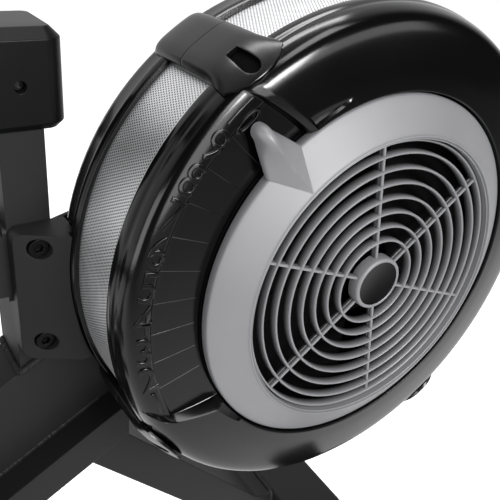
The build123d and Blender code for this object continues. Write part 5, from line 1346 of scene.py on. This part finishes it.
# Monitor: a moulded case on a swinging arm, with a tinted window over a plain liquid-crystal panel and
# three rubber keys under it.
case_plastic = finish("case_plastic", (0.008, 0.008, 0.0084, 1), (0.012, 0.012, 0.0125, 1),
                      (0.36, 0.46), 2200, 0.00006)
rounded("monitor_arm", powder_coat, 0.0015)
rounded("monitor_case", case_plastic, 0.002)
screen_glass = finish("screen_glass", (0.105, 0.12, 0.1, 1), (0.125, 0.14, 0.12, 1),
                      (0.05, 0.08), 400, 0.000002, coat=0.6)
rounded("monitor_screen", screen_glass, 0.0005)
key_rubber = finish("key_rubber", (0.05, 0.05, 0.052, 1), (0.065, 0.065, 0.068, 1),
                    (0.55, 0.65), 1500, 0.00004)
for number in (1, 2, 3):
    rounded(f"monitor_button_{number}", key_rubber, 0.0012)

# Floor contact: moulded caps close the floor tubes' ends on soft pads, and two wheels on a steel fork at
# the front let the machine be tipped up and rolled away.
rounded("foot_caps", rubber, 0.0015)
for side, name in ((1, "left"), (-1, "right")):
    rounded("transport_wheel_" + name, rubber, 0.0025)
    wheel_low, wheel_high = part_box("transport_wheel_" + name)
    centre = (wheel_low + wheel_high) * 500
    face = (wheel_high.y if side > 0 else wheel_low.y) * 1000
    fitted("wheel_screw_" + name, button_head, [((centre.x, face, centre.z), (0, side, 0), (1, 0, 0))],
           bright_steel, "bright_steel", "wheel_" + name)

# Studio: a pale floor under a white surround; the floor shows white to the camera, and in reflections it is
# dark but for a painted glow near the drum that fades out towards the front. Soft rectangular lamps stand in
# front of the drum, on the rower's side of it and overhead, as for a product photograph.
floor_mesh = bpy.data.meshes.new("studio_floor")
floor_mesh.from_pydata([(-8, -8, 0), (8, -8, 0), (8, 8, 0), (-8, 8, 0)], [], [(0, 1, 2, 3)])
floor = placed("studio_floor", floor_mesh)
floor_paint = bpy.data.materials.new("floor_paint")
floor_paint.use_nodes = True
floor_tree = floor_paint.node_tree
floor_skin = floor_tree.nodes["Principled BSDF"]
floor_skin.inputs["Roughness"].default_value = 0.8
# Painted reflection: in reflections the floor's colour drops to dark grey and it glows, though it is no lamp,
# in a pool near the drum that fades out towards the front.
floor_path = floor_tree.nodes.new("ShaderNodeLightPath")
floor_reflected_tone = floor_tree.nodes.new("ShaderNodeMix")
floor_reflected_tone.data_type = "RGBA"
floor_reflected_tone.inputs[6].default_value = (0.86, 0.86, 0.86, 1)
floor_reflected_tone.inputs[7].default_value = (0.1, 0.1, 0.1, 1)
floor_tree.links.new(floor_path.outputs["Is Glossy Ray"], floor_reflected_tone.inputs[0])
floor_tree.links.new(floor_reflected_tone.outputs[2], floor_skin.inputs["Base Color"])
floor_place = floor_tree.nodes.new("ShaderNodeSeparateXYZ")
floor_tree.links.new(floor_tree.nodes.new("ShaderNodeTexCoord").outputs["Object"], floor_place.inputs[0])
floor_glow_pool = floor_tree.nodes.new("ShaderNodeMapRange")
for socket, value in (("From Min", -1.15), ("From Max", -0.3), ("To Min", 0.05), ("To Max", 1.0)):
    floor_glow_pool.inputs[socket].default_value = value
floor_tree.links.new(floor_place.outputs["Y"], floor_glow_pool.inputs["Value"])
floor_painted_glow = floor_tree.nodes.new("ShaderNodeMath")
floor_painted_glow.operation = "MULTIPLY"
floor_tree.links.new(floor_path.outputs["Is Glossy Ray"], floor_painted_glow.inputs[0])
floor_tree.links.new(floor_glow_pool.outputs[0], floor_painted_glow.inputs[1])
floor_glow = floor_tree.nodes.new("ShaderNodeMath")
floor_glow.operation = "MULTIPLY_ADD"
floor_glow.inputs[1].default_value = 0.62
floor_tree.links.new(floor_path.outputs["Is Camera Ray"], floor_glow.inputs[0])
floor_tree.links.new(floor_painted_glow.outputs[0], floor_glow.inputs[2])
floor_skin.inputs["Emission Color"].default_value = (1, 1, 1, 1)
floor_tree.links.new(floor_glow.outputs[0], floor_skin.inputs["Emission Strength"])
floor_paint.cycles.emission_sampling = "NONE"
floor_mesh.materials.append(floor_paint)
world = bpy.data.worlds.new("studio")
scene.world = world
world.use_nodes = True
tree = world.node_tree
world.cycles.sampling_method = "NONE"
background = tree.nodes["Background"]
background.inputs["Color"].default_value = (1, 1, 1, 1)
path = tree.nodes.new("ShaderNodeLightPath")
heading = tree.nodes.new("ShaderNodeSeparateXYZ")
tree.links.new(tree.nodes.new("ShaderNodeTexCoord").outputs["Generated"], heading.inputs[0])
sweep = tree.nodes.new("ShaderNodeMapRange")
for socket, value in (("From Min", -0.1), ("From Max", 0.4), ("To Min", 0.02), ("To Max", 0.9)):
    sweep.inputs[socket].default_value = value
tree.links.new(heading.outputs["Y"], sweep.inputs["Value"])
mirrored = tree.nodes.new("ShaderNodeMix")
mirrored.inputs[2].default_value = 0.42
tree.links.new(path.outputs["Is Glossy Ray"], mirrored.inputs[0])
tree.links.new(sweep.outputs[0], mirrored.inputs[3])
shown = tree.nodes.new("ShaderNodeMix")
shown.inputs[3].default_value = 1.0
tree.links.new(path.outputs["Is Camera Ray"], shown.inputs[0])
tree.links.new(mirrored.outputs[0], shown.inputs[2])
tree.links.new(shown.outputs[0], background.inputs["Strength"])
for name, place, target, size, power in (
        ("front_lamp", (1.8, -2.05, 1.48), (0.85, -0.2, 0.65), (2.2, 0.6), 11.0),
        ("panel_lamp", (0.58, -2.2, 1.0), (0.7, -0.2, 0.6), (1.1, 1.7), 28.0),
        ("key_lamp", (1.05, -2.1, 1.62), (0.8, -0.2, 0.7), (0.9, 0.5), 56.0),
        ("figure_lamp", (0.25, -2.1, 2.15), (0.75, -0.2, 0.7), (0.6, 0.5), 10.0),
        ("side_lamp", (-1.25, -0.75, 0.8), (0.66, -0.15, 0.6), (1.2, 1.1), 18.0),
        ("top_lamp", (0.95, 0.52, 2.4), (0.8, -0.15, 0.75), (1.3, 0.35), 18.0),
        ("over_lamp", (1.0, -0.55, 2.4), (0.8, -0.1, 0.7), (0.9, 0.6), 12.0)):
    lamp_data = bpy.data.lights.new(name, "AREA")
    lamp_data.shape = "RECTANGLE"
    lamp_data.size, lamp_data.size_y = size
    lamp_data.energy = power
    lamp = placed(name, lamp_data)
    aim = (Vector(place) - Vector(target)).normalized()
    along = Vector((0, 0, 1)).cross(aim).normalized()
    facing = Matrix((along, aim.cross(along), aim)).transposed().to_4x4()
    lamp.matrix_world = Matrix.Translation(place) @ facing

# Camera: it stands where the photograph was taken, close to the drum's right side, above and behind it.
# Its lens is close to a normal one.
camera_data = bpy.data.cameras.new("camera")
camera_data.lens = 49.0
camera_data.sensor_width = 36.0
camera_data.clip_start = 0.02
camera = placed("camera", camera_data)
camera.matrix_world = Matrix((
    (0.83495, 0.20434, -0.51097, 0.4635),
    (-0.54431, 0.44344, -0.71210, -0.5910),
    (0.08107, 0.87270, 0.48148, 0.8642),
    (0, 0, 0, 1)))
scene.camera = camera
scene.view_settings.view_transform = "Standard"
